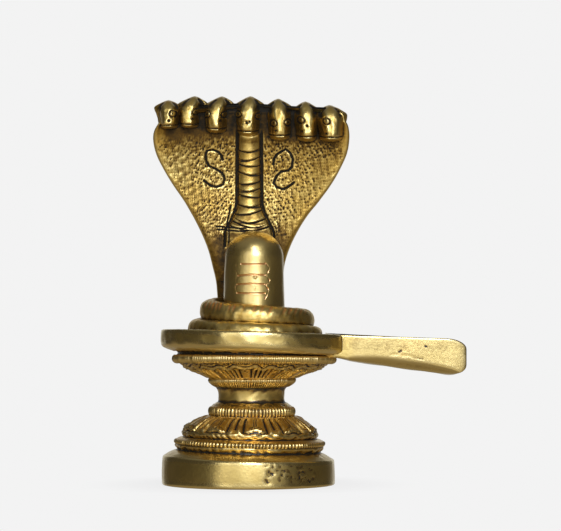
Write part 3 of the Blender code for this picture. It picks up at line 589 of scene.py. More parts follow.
def read_rows(items, name, width, kind=np.float32):
    """One property of all corners or edges of a mesh, as rows of numbers."""
    flat = np.empty(width * len(items), kind)
    items.foreach_get(name, flat)
    return flat.reshape(-1, width)


def mesh_points(thing):
    """The corners of an object's mesh, in millimetres."""
    return read_rows(thing.data.vertices, "co", 3).astype(float) / MM


def set_points(thing, points):
    """Moves the corners of an object's mesh to these places, in millimetres."""
    thing.data.vertices.foreach_set("co", (points * MM).astype(np.float32).ravel())
    thing.data.update()


def store(thing, name, values):
    """Keeps one number per corner, which a material can read by this name."""
    layer = thing.data.attributes.new(name, "FLOAT", "POINT")
    layer.data.foreach_set("value", np.asarray(values, np.float32))


points = mesh_points(pedestal)
radius = np.hypot(points[:, 0], points[:, 1])
carved = ease(8.4, 8.8, points[:, 2]) * ease(20.6, 20.0, points[:, 2])
carved += ease(25.0, 25.4, points[:, 2]) * ease(33.8, 33.4, points[:, 2]) * ease(22.0, 21.4, radius)
aside = np.arctan2(points[:, 0], -points[:, 1])
pits = ease(0.12, 0.4, aside) * ease(1.0, 0.75, aside)
pits *= ease(7.4, 6.6, points[:, 2])
rubbed = ease(20.4, 21.6, points[:, 2]) * ease(25.0, 24.4, points[:, 2])
rubbed += 1.4 * ease(32.2, 32.6, points[:, 2]) * ease(35.2, 34.7, points[:, 2]) * ease(19.45, 19.9, radius)
drift, roll, pitch = (follow([(row[0], row[k]) for row in TIER_TILTS], points[:, 2]) for k in (1, 2, 3))
roll = np.radians(roll)
pitch = np.radians(pitch)
on_spout = ease(20.5, 25.0, points[:, 0]) * ease(25.0, 28.0, points[:, 2])
drift += on_spout * (BASIN_DRIFT - drift)
roll += on_spout * (math.radians(BASIN_LEAN) - roll)
pitch += on_spout * (math.radians(BASIN_LEAN) - pitch)
off_seat = np.where(points[:, 2] > 33.6, np.clip((radius - SEAT_RADIUS) / 3.5, 0.0, 1.0), 1.0)
points[:, 2] -= off_seat * (points[:, 0] * np.tan(roll) + points[:, 1] * np.tan(pitch))
points[:, 0] += drift
set_points(pedestal, points)
store(pedestal, "carved", carved)
store(pedestal, "rubbed", rubbed)
store(pedestal, "pits", pits)
cracks = np.zeros(len(points))
for crack in SPOUT_CRACKS:
    away = distance_to_line(points[:, 0], points[:, 2], crack)
    cracks = np.maximum(cracks, (points[:, 1] < -5.0) * (points[:, 0] > 30.0) * bump(away, 1.3 * CRACK_WIDTH))
store(pedestal, "black", 0.6 * cracks)
# The spout's outer part is painted paler, as a painted sheen, and gathers a little more tarnish.
store(pedestal, "pale", 0.5 * ease(25.0, 27.5, points[:, 0]))
print("basin drifts", BASIN_DRIFT, "mm to the right")

# %% [markdown]
# ## The lingam
# The lingam is smooth and polished, so its shape is only a profile turned round an axis: a shaft
# that swells a little towards its foot, and a dome. The front is given denser rings, because the
# fine lines to be cut there need close points to be real geometry and not just shading.
# %% Lingam
LINGAM_RADIUS = 7.9
LINGAM_TOP_RADIUS = 7.45
LINGAM_FOOT = 37.2
LINGAM_SHOULDER = 58.1
LINGAM_DOME = 6.8
DOME_ROWS = 27
FRONT_HALF_ANGLE = 0.75


def shaft_radius(height):
    """The radius of the lingam's shaft at a height."""
    share = np.clip((LINGAM_SHOULDER - height) / (LINGAM_SHOULDER - LINGAM_FOOT), 0.0, 1.0)
    return LINGAM_TOP_RADIUS + (LINGAM_RADIUS - LINGAM_TOP_RADIUS) * np.sin(0.5 * math.pi * share)


shaft_heights = np.concatenate((np.linspace(LINGAM_FOOT, 46.6, 24), np.linspace(46.8, 57.2, 106)))
shaft_heights = np.concatenate((shaft_heights, np.linspace(57.4, LINGAM_SHOULDER, 4)))
dome = 0.5 * math.pi * np.arange(1, DOME_ROWS) / DOME_ROWS
row_heights = np.concatenate((shaft_heights, LINGAM_SHOULDER + LINGAM_DOME * np.sin(dome)))
row_radii = np.concatenate((shaft_radius(shaft_heights), LINGAM_TOP_RADIUS * np.cos(dome)))
front_angle = np.linspace(-FRONT_HALF_ANGLE, FRONT_HALF_ANGLE, 130)
back_angle = np.linspace(FRONT_HALF_ANGLE, TURN - FRONT_HALF_ANGLE, 92)[1:-1]
lingam_angle = np.concatenate((front_angle, back_angle))
lingam_rings = [np.array([(0.0, 0.0, LINGAM_FOOT)])]
for radius, height in zip(row_radii, row_heights):
    lingam_rings.append(level_ring(radius, 0.0 * lingam_angle + height, lingam_angle))
lingam_rings.append(np.array([(0.0, 0.0, LINGAM_SHOULDER + LINGAM_DOME)]))
lingam = skin("lingam_brass", lingam_rings)
print("lingam:", point_count(lingam), "points")

# %% [markdown]
# ## Engraving on the lingam
# Four lines in a wavy frame, a scratch and one small ring were cut with a graver after casting.
# Points near a line are pushed inward, and a low burr is raised beside it. The number kept as
# "cut" tells the brass where fresh metal shows. The top of the dome is painted a little darker,
# as painted shade.
# %% Engraving
ENGRAVED_LINES = (
    ((-3.2, 56.4), (0.0, 56.3), (2.95, 56.45)),
    ((-4.0, 53.4), (-1.0, 53.7), (2.75, 53.6)),
    ((-4.25, 51.2), (-0.8, 51.4), (2.6, 51.25)),
    ((-4.25, 49.0), (-0.9, 48.9), (2.75, 48.95)),
)
FRAME_LEFT = ((-4.2, 56.6), (-4.75, 54.9), (-4.25, 54.2), (-4.55, 51.7), (-4.7, 50.3), (-4.2, 49.0))
FRAME_RIGHT = (
    (2.95, 56.6), (3.95, 55.4), (3.5, 54.2), (2.95, 53.6), (3.95, 52.3),
    (3.7, 51.5), (2.95, 51.1), (3.75, 49.8), (3.2, 48.2), (2.7, 47.5),
)
SCRATCH = ((0.3, 52.4), (0.1, 51.0), (0.35, 50.1), (0.15, 49.3))
DOT_PLACE = (0.3, 52.95)
DOT_RADIUS = 0.38

points = mesh_points(lingam)
radius = np.hypot(points[:, 0], points[:, 1])
front = ease(0.0, -2.0, points[:, 1])
cut = np.zeros(len(points))
depth = np.zeros(len(points))
for line in ENGRAVED_LINES:
    away = distance_to_line(points[:, 0], points[:, 2], line)
    cut = np.maximum(cut, front * bump(away, 0.26))
    depth = np.maximum(depth, front * 0.16 * bump(away, 0.15))
broken = 0.65 + 0.35 * waver(points, 1.1, 71)
for line, strength in ((FRAME_LEFT, 0.5), (FRAME_RIGHT, 0.8), (SCRATCH, 0.35)):
    away = distance_to_line(points[:, 0], points[:, 2], line)
    cut = np.maximum(cut, front * strength * broken * bump(away, 0.22))
    depth = np.maximum(depth, front * strength * broken * 0.18 * bump(away, 0.14))
dot = np.abs(np.hypot(points[:, 0] - DOT_PLACE[0], points[:, 2] - DOT_PLACE[1]) - DOT_RADIUS)
depth = np.maximum(depth, front * 0.22 * bump(dot, 0.14))
burr = 0.35 * front * np.maximum(0.0, bump(cut - 0.35, 0.25)) * (cut > 0.05)
lift = 0.03 * waver(points, 4.5, 72) - depth + 0.06 * burr
points[:, :2] *= np.where(radius > 0.5, 1.0 + lift / np.maximum(radius, 0.5), 1.0)[:, None]
points[:, 0] += BASIN_DRIFT
set_points(lingam, points)
store(lingam, "cut", cut)
# Painted shade: the top of the dome is painted a little darker through the black number.
store(lingam, "black", 0.3 * ease(62.2, 64.4, points[:, 2]))
print(len(ENGRAVED_LINES), "engraved lines, up to", round(float(depth.max()), 2), "mm deep")

# %% [markdown]
# ## The cobra's hood
# The hood is a sheet of brass that widens from a thick stem, leans back a little and then curls
# forward over the lingam. It is lofted from level sections. A few smooth curves say how wide
# each section is, how far back it stands and how thick it is, all by the share of the height.
# %% Hood shape
NAGA_DRIFT = (
    (0.0, 0.5), (0.18, 0.35), (0.27, -0.1), (0.35, -0.05), (0.44, 0.1), (0.52, 0.37), (0.58, 0.75),
    (0.68, 0.85), (0.8, 0.75), (0.93, 0.7), (1.0, 0.95),
)
HOOD_FOOT = 40.9
HOOD_HEIGHT = 54.6
HOOD_HALF_WIDTH = 25.1
HOOD_THICKNESS = 3.0
STEM_THICKNESS = 6.6
STEM_DISTANCE = 11.4
HOOD_SCOOP = 3.8
HOOD_OUTLINE = (
    (0.0, 0.33), (0.14, 0.343), (0.24, 0.358), (0.33, 0.402), (0.41, 0.47), (0.5, 0.574),
    (0.58, 0.691), (0.66, 0.807), (0.74, 0.904), (0.82, 0.979), (0.9, 1.005), (0.96, 0.99), (1.0, 0.935),
)
HOOD_LEAN = (
    (0.0, 0.0), (0.2, 0.05), (0.5, -0.1), (0.65, -0.4), (0.8, -1.6), (0.9, -3.2), (1.0, -6.0),
)
TOP_EDGE = (
    (-24.0, 91.8), (-23.0, 93.2), (-22.0, 94.6), (-21.0, 95.8), (-17.9, 97.0), (-10.8, 97.4), (-3.0, 97.7),
    (4.2, 97.5), (11.2, 97.0), (17.3, 96.7), (21.5, 96.4), (23.5, 95.6), (25.0, 94.0),
)
HEAD_ACROSS = (-20.3, -14.2, -7.2, 0.0, 7.1, 14.1, 20.1)


def hood_width(share):
    """Half the hood's width at a share of its height."""
    return HOOD_HALF_WIDTH * follow(HOOD_OUTLINE, share)


def hood_depth(share):
    """How far back the middle surface stands, and the direction (y, z) that its face looks."""
    step = 0.01
    slope = (follow(HOOD_LEAN, share + step) - follow(HOOD_LEAN, share - step)) / (2 * step * HOOD_HEIGHT)
    size = np.hypot(1.0, slope)
    return STEM_DISTANCE + follow(HOOD_LEAN, share), -1.0 / size, slope / size


def hood_faces(across, share):
    """How far the front and the back stand from the middle surface."""
    place = np.minimum(np.abs(across) / hood_width(share), 1.0)
    spread = follow(((0.2, 0.0), (0.45, 0.5), (0.7, 1.0)), share)
    edge = np.sqrt(np.maximum(0.0, 1.0 - place ** (2.3 + 20.0 * spread)))
    thick = STEM_THICKNESS + (HOOD_THICKNESS - STEM_THICKNESS) * spread
    scoop = HOOD_SCOOP * spread * place**2.2
    spine = 0.35 * HOOD_THICKNESS * spread * bump(across, 3.4)
    top = np.sqrt(np.clip((1.0 - share) / 0.025, 0.0, 1.0)) * 0.92 + 0.08
    return scoop + 0.5 * thick * edge * top, scoop - 0.5 * thick * edge * top - spine * top


print("the hood is", 2 * HOOD_HALF_WIDTH, "mm wide")

# %% [markdown]
# ## Carving on the hood
# The front carries a plated belly with dark lines beside it and two spectacle marks. Each is
# drawn as a line measured across the front. A line lowers the surface near it, and it also says
# how black it is, because soot and old polish stay in a cut. A waver moves the edges of the black
# a little, so that they look cut by hand.
# %% Carving of the hood's front
SCUTE_HEIGHTS = (85.9, 83.6, 82.0, 79.7, 77.3, 75.3, 73.8, 71.1, 69.3, 66.95, 65.9, 65.1)
TOP_SCUTE = 88.3
BELLY_SIDE = (
    (50.0, 6.1), (64.4, 6.0), (66.5, 5.2), (70.0, 3.6), (72.0, 3.1), (78.0, 3.0), (88.0, 2.95), (92.0, 2.9),
)
LEFT_MARK = (
    (-6.7, 83.6), (-7.0, 84.7), (-7.8, 85.7), (-9.2, 86.3), (-10.7, 86.1), (-11.1, 85.0),
    (-11.0, 83.6), (-10.3, 82.1), (-8.5, 81.2), (-6.9, 80.2), (-6.2, 78.6), (-6.7, 77.1),
    (-8.2, 76.5), (-9.7, 76.8), (-10.8, 77.6), (-11.5, 78.2),
)
RIGHT_MARK = (
    (6.4, 82.4), (6.5, 83.9), (7.3, 85.0), (8.6, 85.9), (9.5, 86.4), (10.7, 85.5),
    (11.4, 83.8), (11.1, 81.8), (10.2, 80.8), (8.4, 80.5), (7.1, 79.3), (6.4, 77.5),
    (7.3, 76.3), (8.8, 75.9), (10.2, 76.5), (11.6, 77.7),
)
BELLY_SECOND_LINE = ((-4.6, 71.5), (-5.6, 66.6))
LONG_SCRATCHES = (
    ((-8.4, 66.1), (-0.8, 65.6)), ((-8.0, 65.4), (-1.0, 64.8)),
    ((-6.2, 65.6), (-6.0, 61.0)), ((-5.2, 65.6), (-5.1, 61.2)),
)


def hood_carving(across, height):
    """Relief of the front in millimetres, how black its cut lines are, and where the belly is."""
    belly_side = follow(BELLY_SIDE, height)
    belly_place = across - 0.15
    on_belly = ease(belly_side - 0.1, belly_side - 0.55, np.abs(belly_place)) * ease(90.5, 89.5, height)
    on_belly = on_belly * ease(61.0, 63.0, height)
    dome = 1.0 - 0.95 * (np.minimum(np.abs(belly_place) / belly_side, 1.0)) ** 2
    scale = np.zeros(across.shape)
    black = np.zeros(across.shape)
    for i, low in enumerate(SCUTE_HEIGHTS):
        high = TOP_SCUTE if i == 0 else SCUTE_HEIGHTS[i - 1]
        bent = height - 0.22 * np.sin(1.7 * i) * belly_place - 0.05 * belly_place**2
        inside = (bent >= low) & (bent < high)
        scale = np.where(inside, 0.4 * (1.0 - (bent - low) / (high - low)), scale)
        line = bump(bent - low, 0.2) * on_belly
        black = np.maximum(black, 0.8 * line)
        scale = scale - 0.25 * line
    relief = on_belly * (1.4 * dome + scale)
    hand = 0.08 * waver(np.stack((across, height), axis=-1), 2.4, 87)
    edge = np.abs(np.abs(belly_place) - belly_side - 0.3)
    beside = ease(91.0, 89.0, height) * ease(60.0, 63.0, height)
    relief = relief - 0.35 * beside * ease(0.42, 0.06, edge)
    black = np.maximum(black, beside * ease(0.36, 0.08, edge + hand))
    second = distance_to_line(across, height, BELLY_SECOND_LINE)
    relief = relief - 0.25 * bump(second, 0.2)
    black = np.maximum(black, 0.8 * bump(second, 0.2))
    for mark in (LEFT_MARK, RIGHT_MARK):
        away = distance_to_line(across, height, mark)
        relief = relief - 0.3 * ease(0.42, 0.08, away)
        black = np.maximum(black, ease(0.38, 0.1, away + hand))
    for scratch in LONG_SCRATCHES:
        away = distance_to_line(across, height, scratch)
        relief = relief - 0.2 * bump(away, 0.18)
        black = np.maximum(black, 0.9 * bump(away, 0.18))
    return relief, black, on_belly


print("the belly has", len(SCUTE_HEIGHTS), "plates")

# %% [markdown]
# ## Punched scale marks
# The rest of the front is covered with short punched dashes. Real ones are scattered by hand. The
# front is cut into small cells, and each cell holds one mark, moved about by a number made from
# the cell's own place. For every point only its nearest mark matters.
# %% Punch marks
# cell size, lean, seed and strength of each layer of marks
PUNCH_LAYERS = (((1.05, 0.7), 0.62, 3.0, 0.085), ((0.7, 1.1), 0.25, 8.0, 0.06))


def scattered(across, height, pitch, lean, seed):
    """The way across and along to the nearest scattered mark, and a random number of that mark."""
    turn_x = across * math.cos(lean) + height * math.sin(lean)
    turn_z = -across * math.sin(lean) + height * math.cos(lean)
    cell_x = np.floor(turn_x / pitch[0])
    cell_z = np.floor(turn_z / pitch[1])
    best = np.full(across.shape, 1e9)
    near = [np.zeros(across.shape) for _ in range(3)]
    for step_x in (-1, 0, 1):
        for step_z in (-1, 0, 1):
            i = cell_x + step_x
            k = cell_z + step_z
            dice = np.modf(np.abs(np.sin(i * 12.9898 + k * 78.233 + seed)) * 43758.5453)[0]
            other = np.modf(np.abs(np.sin(i * 39.346 + k * 11.135 + seed)) * 24634.6345)[0]
            away_x = turn_x - (i + 0.5 + 0.5 * (dice - 0.5)) * pitch[0]
            away_z = turn_z - (k + 0.5 + 0.5 * (other - 0.5)) * pitch[1]
            away = (away_x / pitch[0]) ** 2 + (away_z / pitch[1]) ** 2
            closer = away < best
            best = np.where(closer, away, best)
            for kept, new in zip(near, (away_x, away_z, dice)):
                np.copyto(kept, new, where=closer)
    return near


def punch_marks(across, height, share, on_belly):
    """Relief of the punched dashes, in rows that rise to the outside."""
    outward = np.abs(across)
    width = hood_width(share)
    band = ease(0.0, 1.1, width - outward) * (1.0 - on_belly)
    band = band * ease(62.0, 64.0, height) * ease(91.0, 87.5, height)
    total = np.zeros(across.shape)
    black = np.zeros(across.shape)
    places = np.stack((across, height), axis=-1)
    for pitch, lean, seed, strength in PUNCH_LAYERS:
        away_x, away_z, dice = scattered(outward, height, pitch, lean, seed)
        mark = bump(away_x, 0.2) * bump(away_z, 0.27)
        patch = 0.55 + 0.45 * waver(places, 9.0, 81 + int(seed))
        close = ease(0.95, 0.3, outward / width)
        shown = ease(0.4, 0.75, 0.3 * dice + 0.45 * patch + 0.45 * close)
        total = total + strength * mark * shown * np.where(dice > 0.45, -1.0, 0.6)
        black = np.maximum(black, 0.3 * mark * shown * (dice > 0.45))
    grain = 0.035 * waver(places, 1.9, 84) + 0.015 * waver(places, 0.7, 86)
    return band * (total + grain), band * black


print(len(PUNCH_LAYERS), "layers of punch marks")

# %% [markdown]
# ## Points of the hood
# A grid of shares, across and up, becomes points: first on the middle surface, then moved out to
# the front with its relief, or to the back. The back has seven plain necks that fade downwards.
# The top edge is lifted last to the uneven outline between the heads.
# %% Hood sections
FRONT_STEPS = 236
BACK_STEPS = 78
SECTIONS = 286
NECK_DEPTH = 1.7
NECK_HALF_WIDTH = 2.7


def on_hood(across, share, offset):
    """Points at an offset from the hood's middle surface."""
    depth, look_y, look_z = hood_depth(share)
    height = HOOD_FOOT + HOOD_HEIGHT * share
    aside = follow(NAGA_DRIFT, share) + across
    return np.stack((aside, depth + look_y * offset, height + look_z * offset), axis=-1)


front_share = np.linspace(-1.0, 1.0, FRONT_STEPS)
back_share = np.linspace(1.0, -1.0, BACK_STEPS)[1:-1]
shares = np.linspace(0.0, 1.0, SECTIONS)
share_grid = np.repeat(shares[:, None], FRONT_STEPS, axis=1)
across_grid = front_share[None, :] * hood_width(shares)[:, None]
height_grid = HOOD_FOOT + HOOD_HEIGHT * share_grid
relief, black, on_belly = hood_carving(across_grid + follow(NAGA_DRIFT, share_grid), height_grid)
marks, marks_black = punch_marks(across_grid, height_grid, share_grid, on_belly)
relief = relief + marks
black = np.maximum(black, marks_black)
# Painted shade: the hood is darkened a little towards its lower left, more under the heads, and strongly in
# the gaps between the heads near the top. It goes into the black with the cut lines.
heads_shade_zone = ease(22.8, 21.2, np.abs(across_grid))
black = np.maximum(black, 0.13 * ease(79.0, 68.0, height_grid) * ease(-2.0, -9.0, across_grid))
black = np.maximum(black, 0.24 * heads_shade_zone * ease(86.0, 92.0, height_grid))
black = np.maximum(black, 0.8 * heads_shade_zone * ease(93.0, 94.6, height_grid))
relief = relief * ease(1.0, 0.96, share_grid)
front_points = on_hood(across_grid, share_grid, hood_faces(across_grid, share_grid)[0] + relief)
share_back = np.repeat(shares[:, None], len(back_share), axis=1)
across_back = back_share[None, :] * hood_width(shares)[:, None]
height_back = HOOD_FOOT + HOOD_HEIGHT * share_back
back_offset = hood_faces(across_back, share_back)[1]
fade = ease(0.66, 0.9, share_back)
for across in HEAD_ACROSS:
    away = across_back - across * hood_width(share_back) / HOOD_HALF_WIDTH
    neck = np.sqrt(np.maximum(0.0, 1.0 - (away / NECK_HALF_WIDTH) ** 2))
    back_offset = back_offset - NECK_DEPTH * fade * neck
back_offset = back_offset + 0.05 * waver(np.stack((across_back, height_back), axis=-1), 4.0, 85)
hood_sections = np.concatenate((front_points, on_hood(across_back, share_back, back_offset)), axis=1)
top_lift = follow(TOP_EDGE, hood_sections[-1, :, 0]) - hood_sections[-1, :, 2]
hood_sections[..., 2] += ease(0.84, 1.0, shares)[:, None] * top_lift[None, :]
print("hood sections:", hood_sections.shape)

# %% [markdown]
# ## Skin of the hood, clear of the lingam
# The stem and the coil lie close round the lingam. Any corner that would enter it is moved out
# along the radius, so that a thin even gap is left. The skin keeps the order of its rings, so the
# black of the carving, with the painted shade under and between the heads, can be handed to the
# corners in one row. The top edge is painted dark as well, as painted shade.
# %% Hood skin
LINGAM_GAP = 0.3
TOP_EDGE_SHADE = 0.85


def clear_of_lingam(points):
    """Pushes points out of the space that the lingam stands in."""
    x = points[:, 0] - BASIN_DRIFT
    radius = np.hypot(x, points[:, 1])
    least = shaft_radius(points[:, 2]) + LINGAM_GAP
    above = np.clip((points[:, 2] - LINGAM_SHOULDER) / (LINGAM_DOME + LINGAM_GAP), 0.0, 1.0)
    least = least * np.sqrt(1.0 - above**2)
    grow = np.where((radius < least) & (radius > 1.0), least / np.maximum(radius, 1.0), 1.0)
    points[:, 0] = BASIN_DRIFT + x * grow
    points[:, 1] *= grow
    return points


hood = skin("naga_hood_brass", capped(hood_sections))
set_points(hood, clear_of_lingam(mesh_points(hood)))
# Painted shade: the back's rows along the top edge, and the top point, are painted dark.
top_edge_shade = np.repeat(TOP_EDGE_SHADE * (shares > 0.985)[:, None], len(back_share), axis=1)
section_black = np.concatenate((black, top_edge_shade), axis=1)
store(hood, "black", np.concatenate(([0.0], section_black.ravel(), [TOP_EDGE_SHADE])))
print("hood:", point_count(hood), "points")

# %% [markdown]
# ## The seven heads
# Each head hangs from a tent-shaped crown, with a rounded ridge down its middle, a snout that
# points down and forward, and cheeks that fall back on both sides. One shape is written as a
# function of two shares, across and down, and bent to the size and lean of each head. Eyes are
# punched rings, nostrils are dots, and the mouth is a line round the snout's end.
# %% Heads
HEADS = (
    # crown across, crown height, snout across, chin height, width, and the eyes and the nostrils
    # as shares of the half width to the right and of the way down
    (-20.6, 98.55, -20.5, 91.0, 7.4, ((0.38, 0.5),), ((0.08, 0.74),)),
    (-13.9, 99.65, -15.2, 91.2, 7.8, ((0.5, 0.5),), ((0.3, 0.72),)),
    (-6.9, 99.65, -8.3, 90.0, 8.0, ((0.6, 0.5), (-0.7, 0.5)), ((0.34, 0.68),)),
    (0.45, 99.69, -0.1, 89.2, 8.3, ((-0.74, 0.46), (0.74, 0.5)), ((-0.12, 0.68), (0.14, 0.66))),
    (7.6, 99.05, 8.0, 88.1, 8.0, ((-0.5, 0.6), (0.66, 0.58)), ((-0.36, 0.78),)),
    (14.6, 98.3, 15.0, 87.8, 7.8, ((-0.46, 0.48),), ((0.0, 0.63), (-0.42, 0.76))),
    (20.8, 97.3, 21.2, 87.7, 8.8, ((-0.3, 0.46),), ((-0.4, 0.8),)),
)
HEAD_OUTLINE = (
    (0.0, 0.0), (0.03, 0.2), (0.1, 0.52), (0.18, 0.84), (0.25, 1.0), (0.34, 0.98), (0.48, 0.88), (0.62, 0.78),
    (0.75, 0.73), (0.87, 0.68), (0.95, 0.54), (1.0, 0.22),
)
HEAD_REACH = (
    (0.0, 0.0), (0.05, 0.36), (0.13, 0.62), (0.25, 0.82), (0.42, 0.94),
    (0.65, 1.0), (0.82, 1.02), (0.93, 0.93), (1.0, 0.6),
)
HEAD_FORWARD = 6.4
HEAD_BACK = 3.1
HEAD_REST = 7.2
EYE_RADIUS = 0.85
HEAD_STEPS = 112
HEAD_ROWS = 66


def head_rings(row):
    """One head as rings from its crown down to its chin, and how black each corner is."""
    crown, top, snout, chin, width, eyes, nostrils = row
    drop = top - chin
    around = np.arange(HEAD_STEPS) / HEAD_STEPS * TURN
    side = np.sin(around)
    lead = np.maximum(np.cos(around), 0.0)
    trail = np.maximum(-np.cos(around), 0.0)
    on_front = lead > 0.05
    base = HEAD_REST - HOOD_SCOOP * min(1.0, abs(crown) / HOOD_HALF_WIDTH) ** 2.2
    rings = []
    marks = []
    for along in np.linspace(0.0, 1.0, HEAD_ROWS)[1:-1]:
        half = 0.5 * width * float(follow(HEAD_OUTLINE, along))
        reach = HEAD_FORWARD * float(follow(HEAD_REACH, along))
        aside = np.abs(side - 0.12 * (snout - crown))
        ridge = ease(0.92 + 0.1 * along, 0.26 + 0.14 * along, aside) * lead**0.25 - 0.08 * aside**2
        front = reach * (0.44 * lead**0.6 + 0.56 * ridge)
        groove = bump(np.abs(side) - 0.56, 0.17) * on_front
        groove = groove * ease(0.06, 0.13, along) * ease(0.44, 0.26, along)
        front = front - 0.9 * groove
        black = 0.85 * groove
        back = HEAD_BACK * (0.4 + 0.6 * math.sin(math.pi * (0.15 + 0.7 * along))) * trail**0.7
        for eye_side, eye_along in eyes:
            away = np.hypot((side - eye_side) * half, (along - eye_along) * drop)
            ring = bump(away - EYE_RADIUS, 0.2)
            front = front + on_front * (0.5 * bump(away, 0.8) - 0.4 * ring - 0.4 * bump(away, 0.22))
            black = np.maximum(black, on_front * (0.7 * ring + 0.6 * bump(away, 0.24)))
        for spot_side, spot_along in nostrils:
            away = np.hypot((side - spot_side) * half, (along - spot_along) * drop)
            front = front - 0.4 * on_front * bump(away, 0.34)
            black = np.maximum(black, on_front * bump(away, 0.38))
        mouth = bump((along - 0.9 + 0.06 * side**2) * drop, 0.2) * lead**0.3
        front = front - 0.5 * mouth
        black = np.maximum(black, 0.75 * mouth)
        middle = crown + (snout - crown) * float(ease(0.0, 0.6, along))
        ring = np.stack((middle + half * side, base - front + back, 0.0 * side + top - along * drop), axis=1)
        rings.append(ring)
        # Painted shade: the flanks of each head, where it crowds its neighbours, are painted darker.
        marks.append(np.maximum(black, 0.4 * ease(0.9, 0.99, np.abs(side)) * ease(0.1, 0.3, along)))
    tip = np.array([(crown, rings[0][:, 1].mean(), top)])
    end = np.array([(snout, rings[-1][:, 1].mean(), chin)])
    return [tip] + rings + [end], np.concatenate(([0.0], *marks, [0.0]))


head_things = []
for number, row in enumerate(HEADS):
    rings, marks = head_rings(row)
    head = skin("naga_head_" + str(number + 1), rings)
    points = mesh_points(head)
    points += 0.07 * waver(points, 2.2, 90 + number)[:, None] * np.array((0.6, 1.0, 0.3))
    points[:, 2] = np.minimum(points[:, 2], row[1])
    set_points(head, points)
    store(head, "black", marks)
    head_things.append(head)
print(len(head_things), "heads,", sum(point_count(head) for head in head_things), "points")

# %% [markdown]
# ## The coil
# The body winds clockwise from the thin tail behind the right side, round the front, and up into
# the stem. It is a tube swept along a rising, tightening spiral. Points that would enter the
# basin's floor or the lingam are pushed out, so the tube lies close against both. Small slanted
# notches along the front were cut after the casting and still shine like copper.
# %% Coil
COIL_RADIUS = 2.95
COIL_TURNS = 1.85
COIL_TOP = 45.6
COIL_TAIL_RADIUS = 0.9
COIL_DISTANCE = 10.15
COIL_SPREAD = 3.1
COIL_RISE = 4.9
COIL_SECTIONS = 430
COIL_STEPS = 64
SQUARENESS = 2.3
NOTCHES = (
    (-12.7, 0.7), (-11.6, 0.8), (-10.6, 1.0), (-9.6, 1.0), (-8.7, 0.9), (-6.3, 0.8), (-5.2, 0.9), (-2.7, 0.5),
    (0.1, 0.8), (2.1, 0.8), (4.3, 1.0), (7.9, 0.9), (9.3, 1.0), (10.8, 0.8), (12.2, 0.7), (13.4, 0.5),
)
along = np.linspace(0.0, 1.0, COIL_SECTIONS)
turns_left = COIL_TURNS * (1.0 - along)
angle = 0.5 * math.pi + TURN * turns_left
distance = COIL_DISTANCE + COIL_SPREAD * turns_left
thickening = np.minimum(1.0, np.sqrt(along / 0.3 + 0.02))
tube_radius = COIL_TAIL_RADIUS + (COIL_RADIUS - COIL_TAIL_RADIUS) * thickening
height = np.maximum(COIL_TOP - COIL_RISE * turns_left, SEAT_HEIGHT + LINGAM_GAP + 0.75 * tube_radius)
around = np.arange(COIL_STEPS) / COIL_STEPS * TURN
outward = np.cos(around)
upward = np.sin(around)
square = (np.abs(outward) ** SQUARENESS + np.abs(upward) ** SQUARENESS) ** (-1.0 / SQUARENESS)
coil_away = distance[:, None] + tube_radius[:, None] * (outward * square)[None, :]
coil_x = coil_away * np.cos(angle)[:, None]
coil_y = coil_away * np.sin(angle)[:, None]
coil_z = height[:, None] + tube_radius[:, None] * (upward * square)[None, :]
coil_sections = np.stack((BASIN_DRIFT + coil_x, coil_y, coil_z), axis=-1)
cut = np.zeros(coil_x.shape)
upper_front = (coil_y < -4.0) & (turns_left[:, None] < 0.9)
for place, strength in NOTCHES:
    slant = coil_x - place - 0.35 * (coil_z - 45.0)
    reach = bump(np.degrees(around)[None, :] - 44.0, 27.0)
    cut = np.maximum(cut, upper_front * strength * reach * bump(slant, 0.36))
sink = 0.26 * cut - 0.06 * waver(coil_sections, 3.2, 95)
coil_sections[..., 0] -= sink * outward[None, :] * np.cos(angle)[:, None]
coil_sections[..., 1] -= sink * outward[None, :] * np.sin(angle)[:, None]
coil_sections[..., 2] -= sink * upward[None, :]
coil_sections[..., 2] = np.maximum(coil_sections[..., 2], SEAT_HEIGHT + LINGAM_GAP)
coil = skin("naga_coil_brass", capped(coil_sections))
set_points(coil, clear_of_lingam(mesh_points(coil)))
store(coil, "cut", np.concatenate(([0.0], cut.ravel(), [0.0])))
print("coil:", point_count(coil), "points,", len(NOTCHES), "notches")

# %% [markdown]
# ## Where dirt gathers and where hands rub
# Old brass is dark in its hollows and bright on its ridges. Both can be measured. A corner that
# lies below the average of its neighbours is hollow, and one that lies above them is a ridge.
# After a few rounds of averaging this shows fine cuts, and after many rounds whole grooves.
# %% Hollows and ridges
HOLLOW_ROUNDS = (3, 24)
FINE_HOLLOW = 0.05
COARSE_HOLLOW = 0.25


def smoothed(values, edges, degree):
    """Each corner's average over its neighbours."""
    total = np.zeros(values.shape)
    count = len(values)
    for column in range(values.shape[1]):
        total[:, column] += np.bincount(edges[:, 0], values[edges[:, 1], column], count)
        total[:, column] += np.bincount(edges[:, 1], values[edges[:, 0], column], count)
    return 0.5 * values + 0.5 * total / degree[:, None]


def hollowness(thing, rounds):
    """How far each corner lies under its neighbourhood, in millimetres, after these rounds."""
    points = mesh_points(thing)
    edges = read_rows(thing.data.edges, "vertices", 2, np.int32)
    degree = np.maximum(1.0, np.bincount(edges.ravel(), minlength=len(points)))
    normals = read_rows(thing.data.vertices, "normal", 3)
    soft = points
    results = []
    for step in range(1, max(rounds) + 1):
        soft = smoothed(soft, edges, degree)
        if step in rounds:
            results.append(((soft - points) * normals).sum(axis=1))
    return results, normals, points, edges, degree


print("hollows are measured after", HOLLOW_ROUNDS[0], "and after", HOLLOW_ROUNDS[1], "rounds")

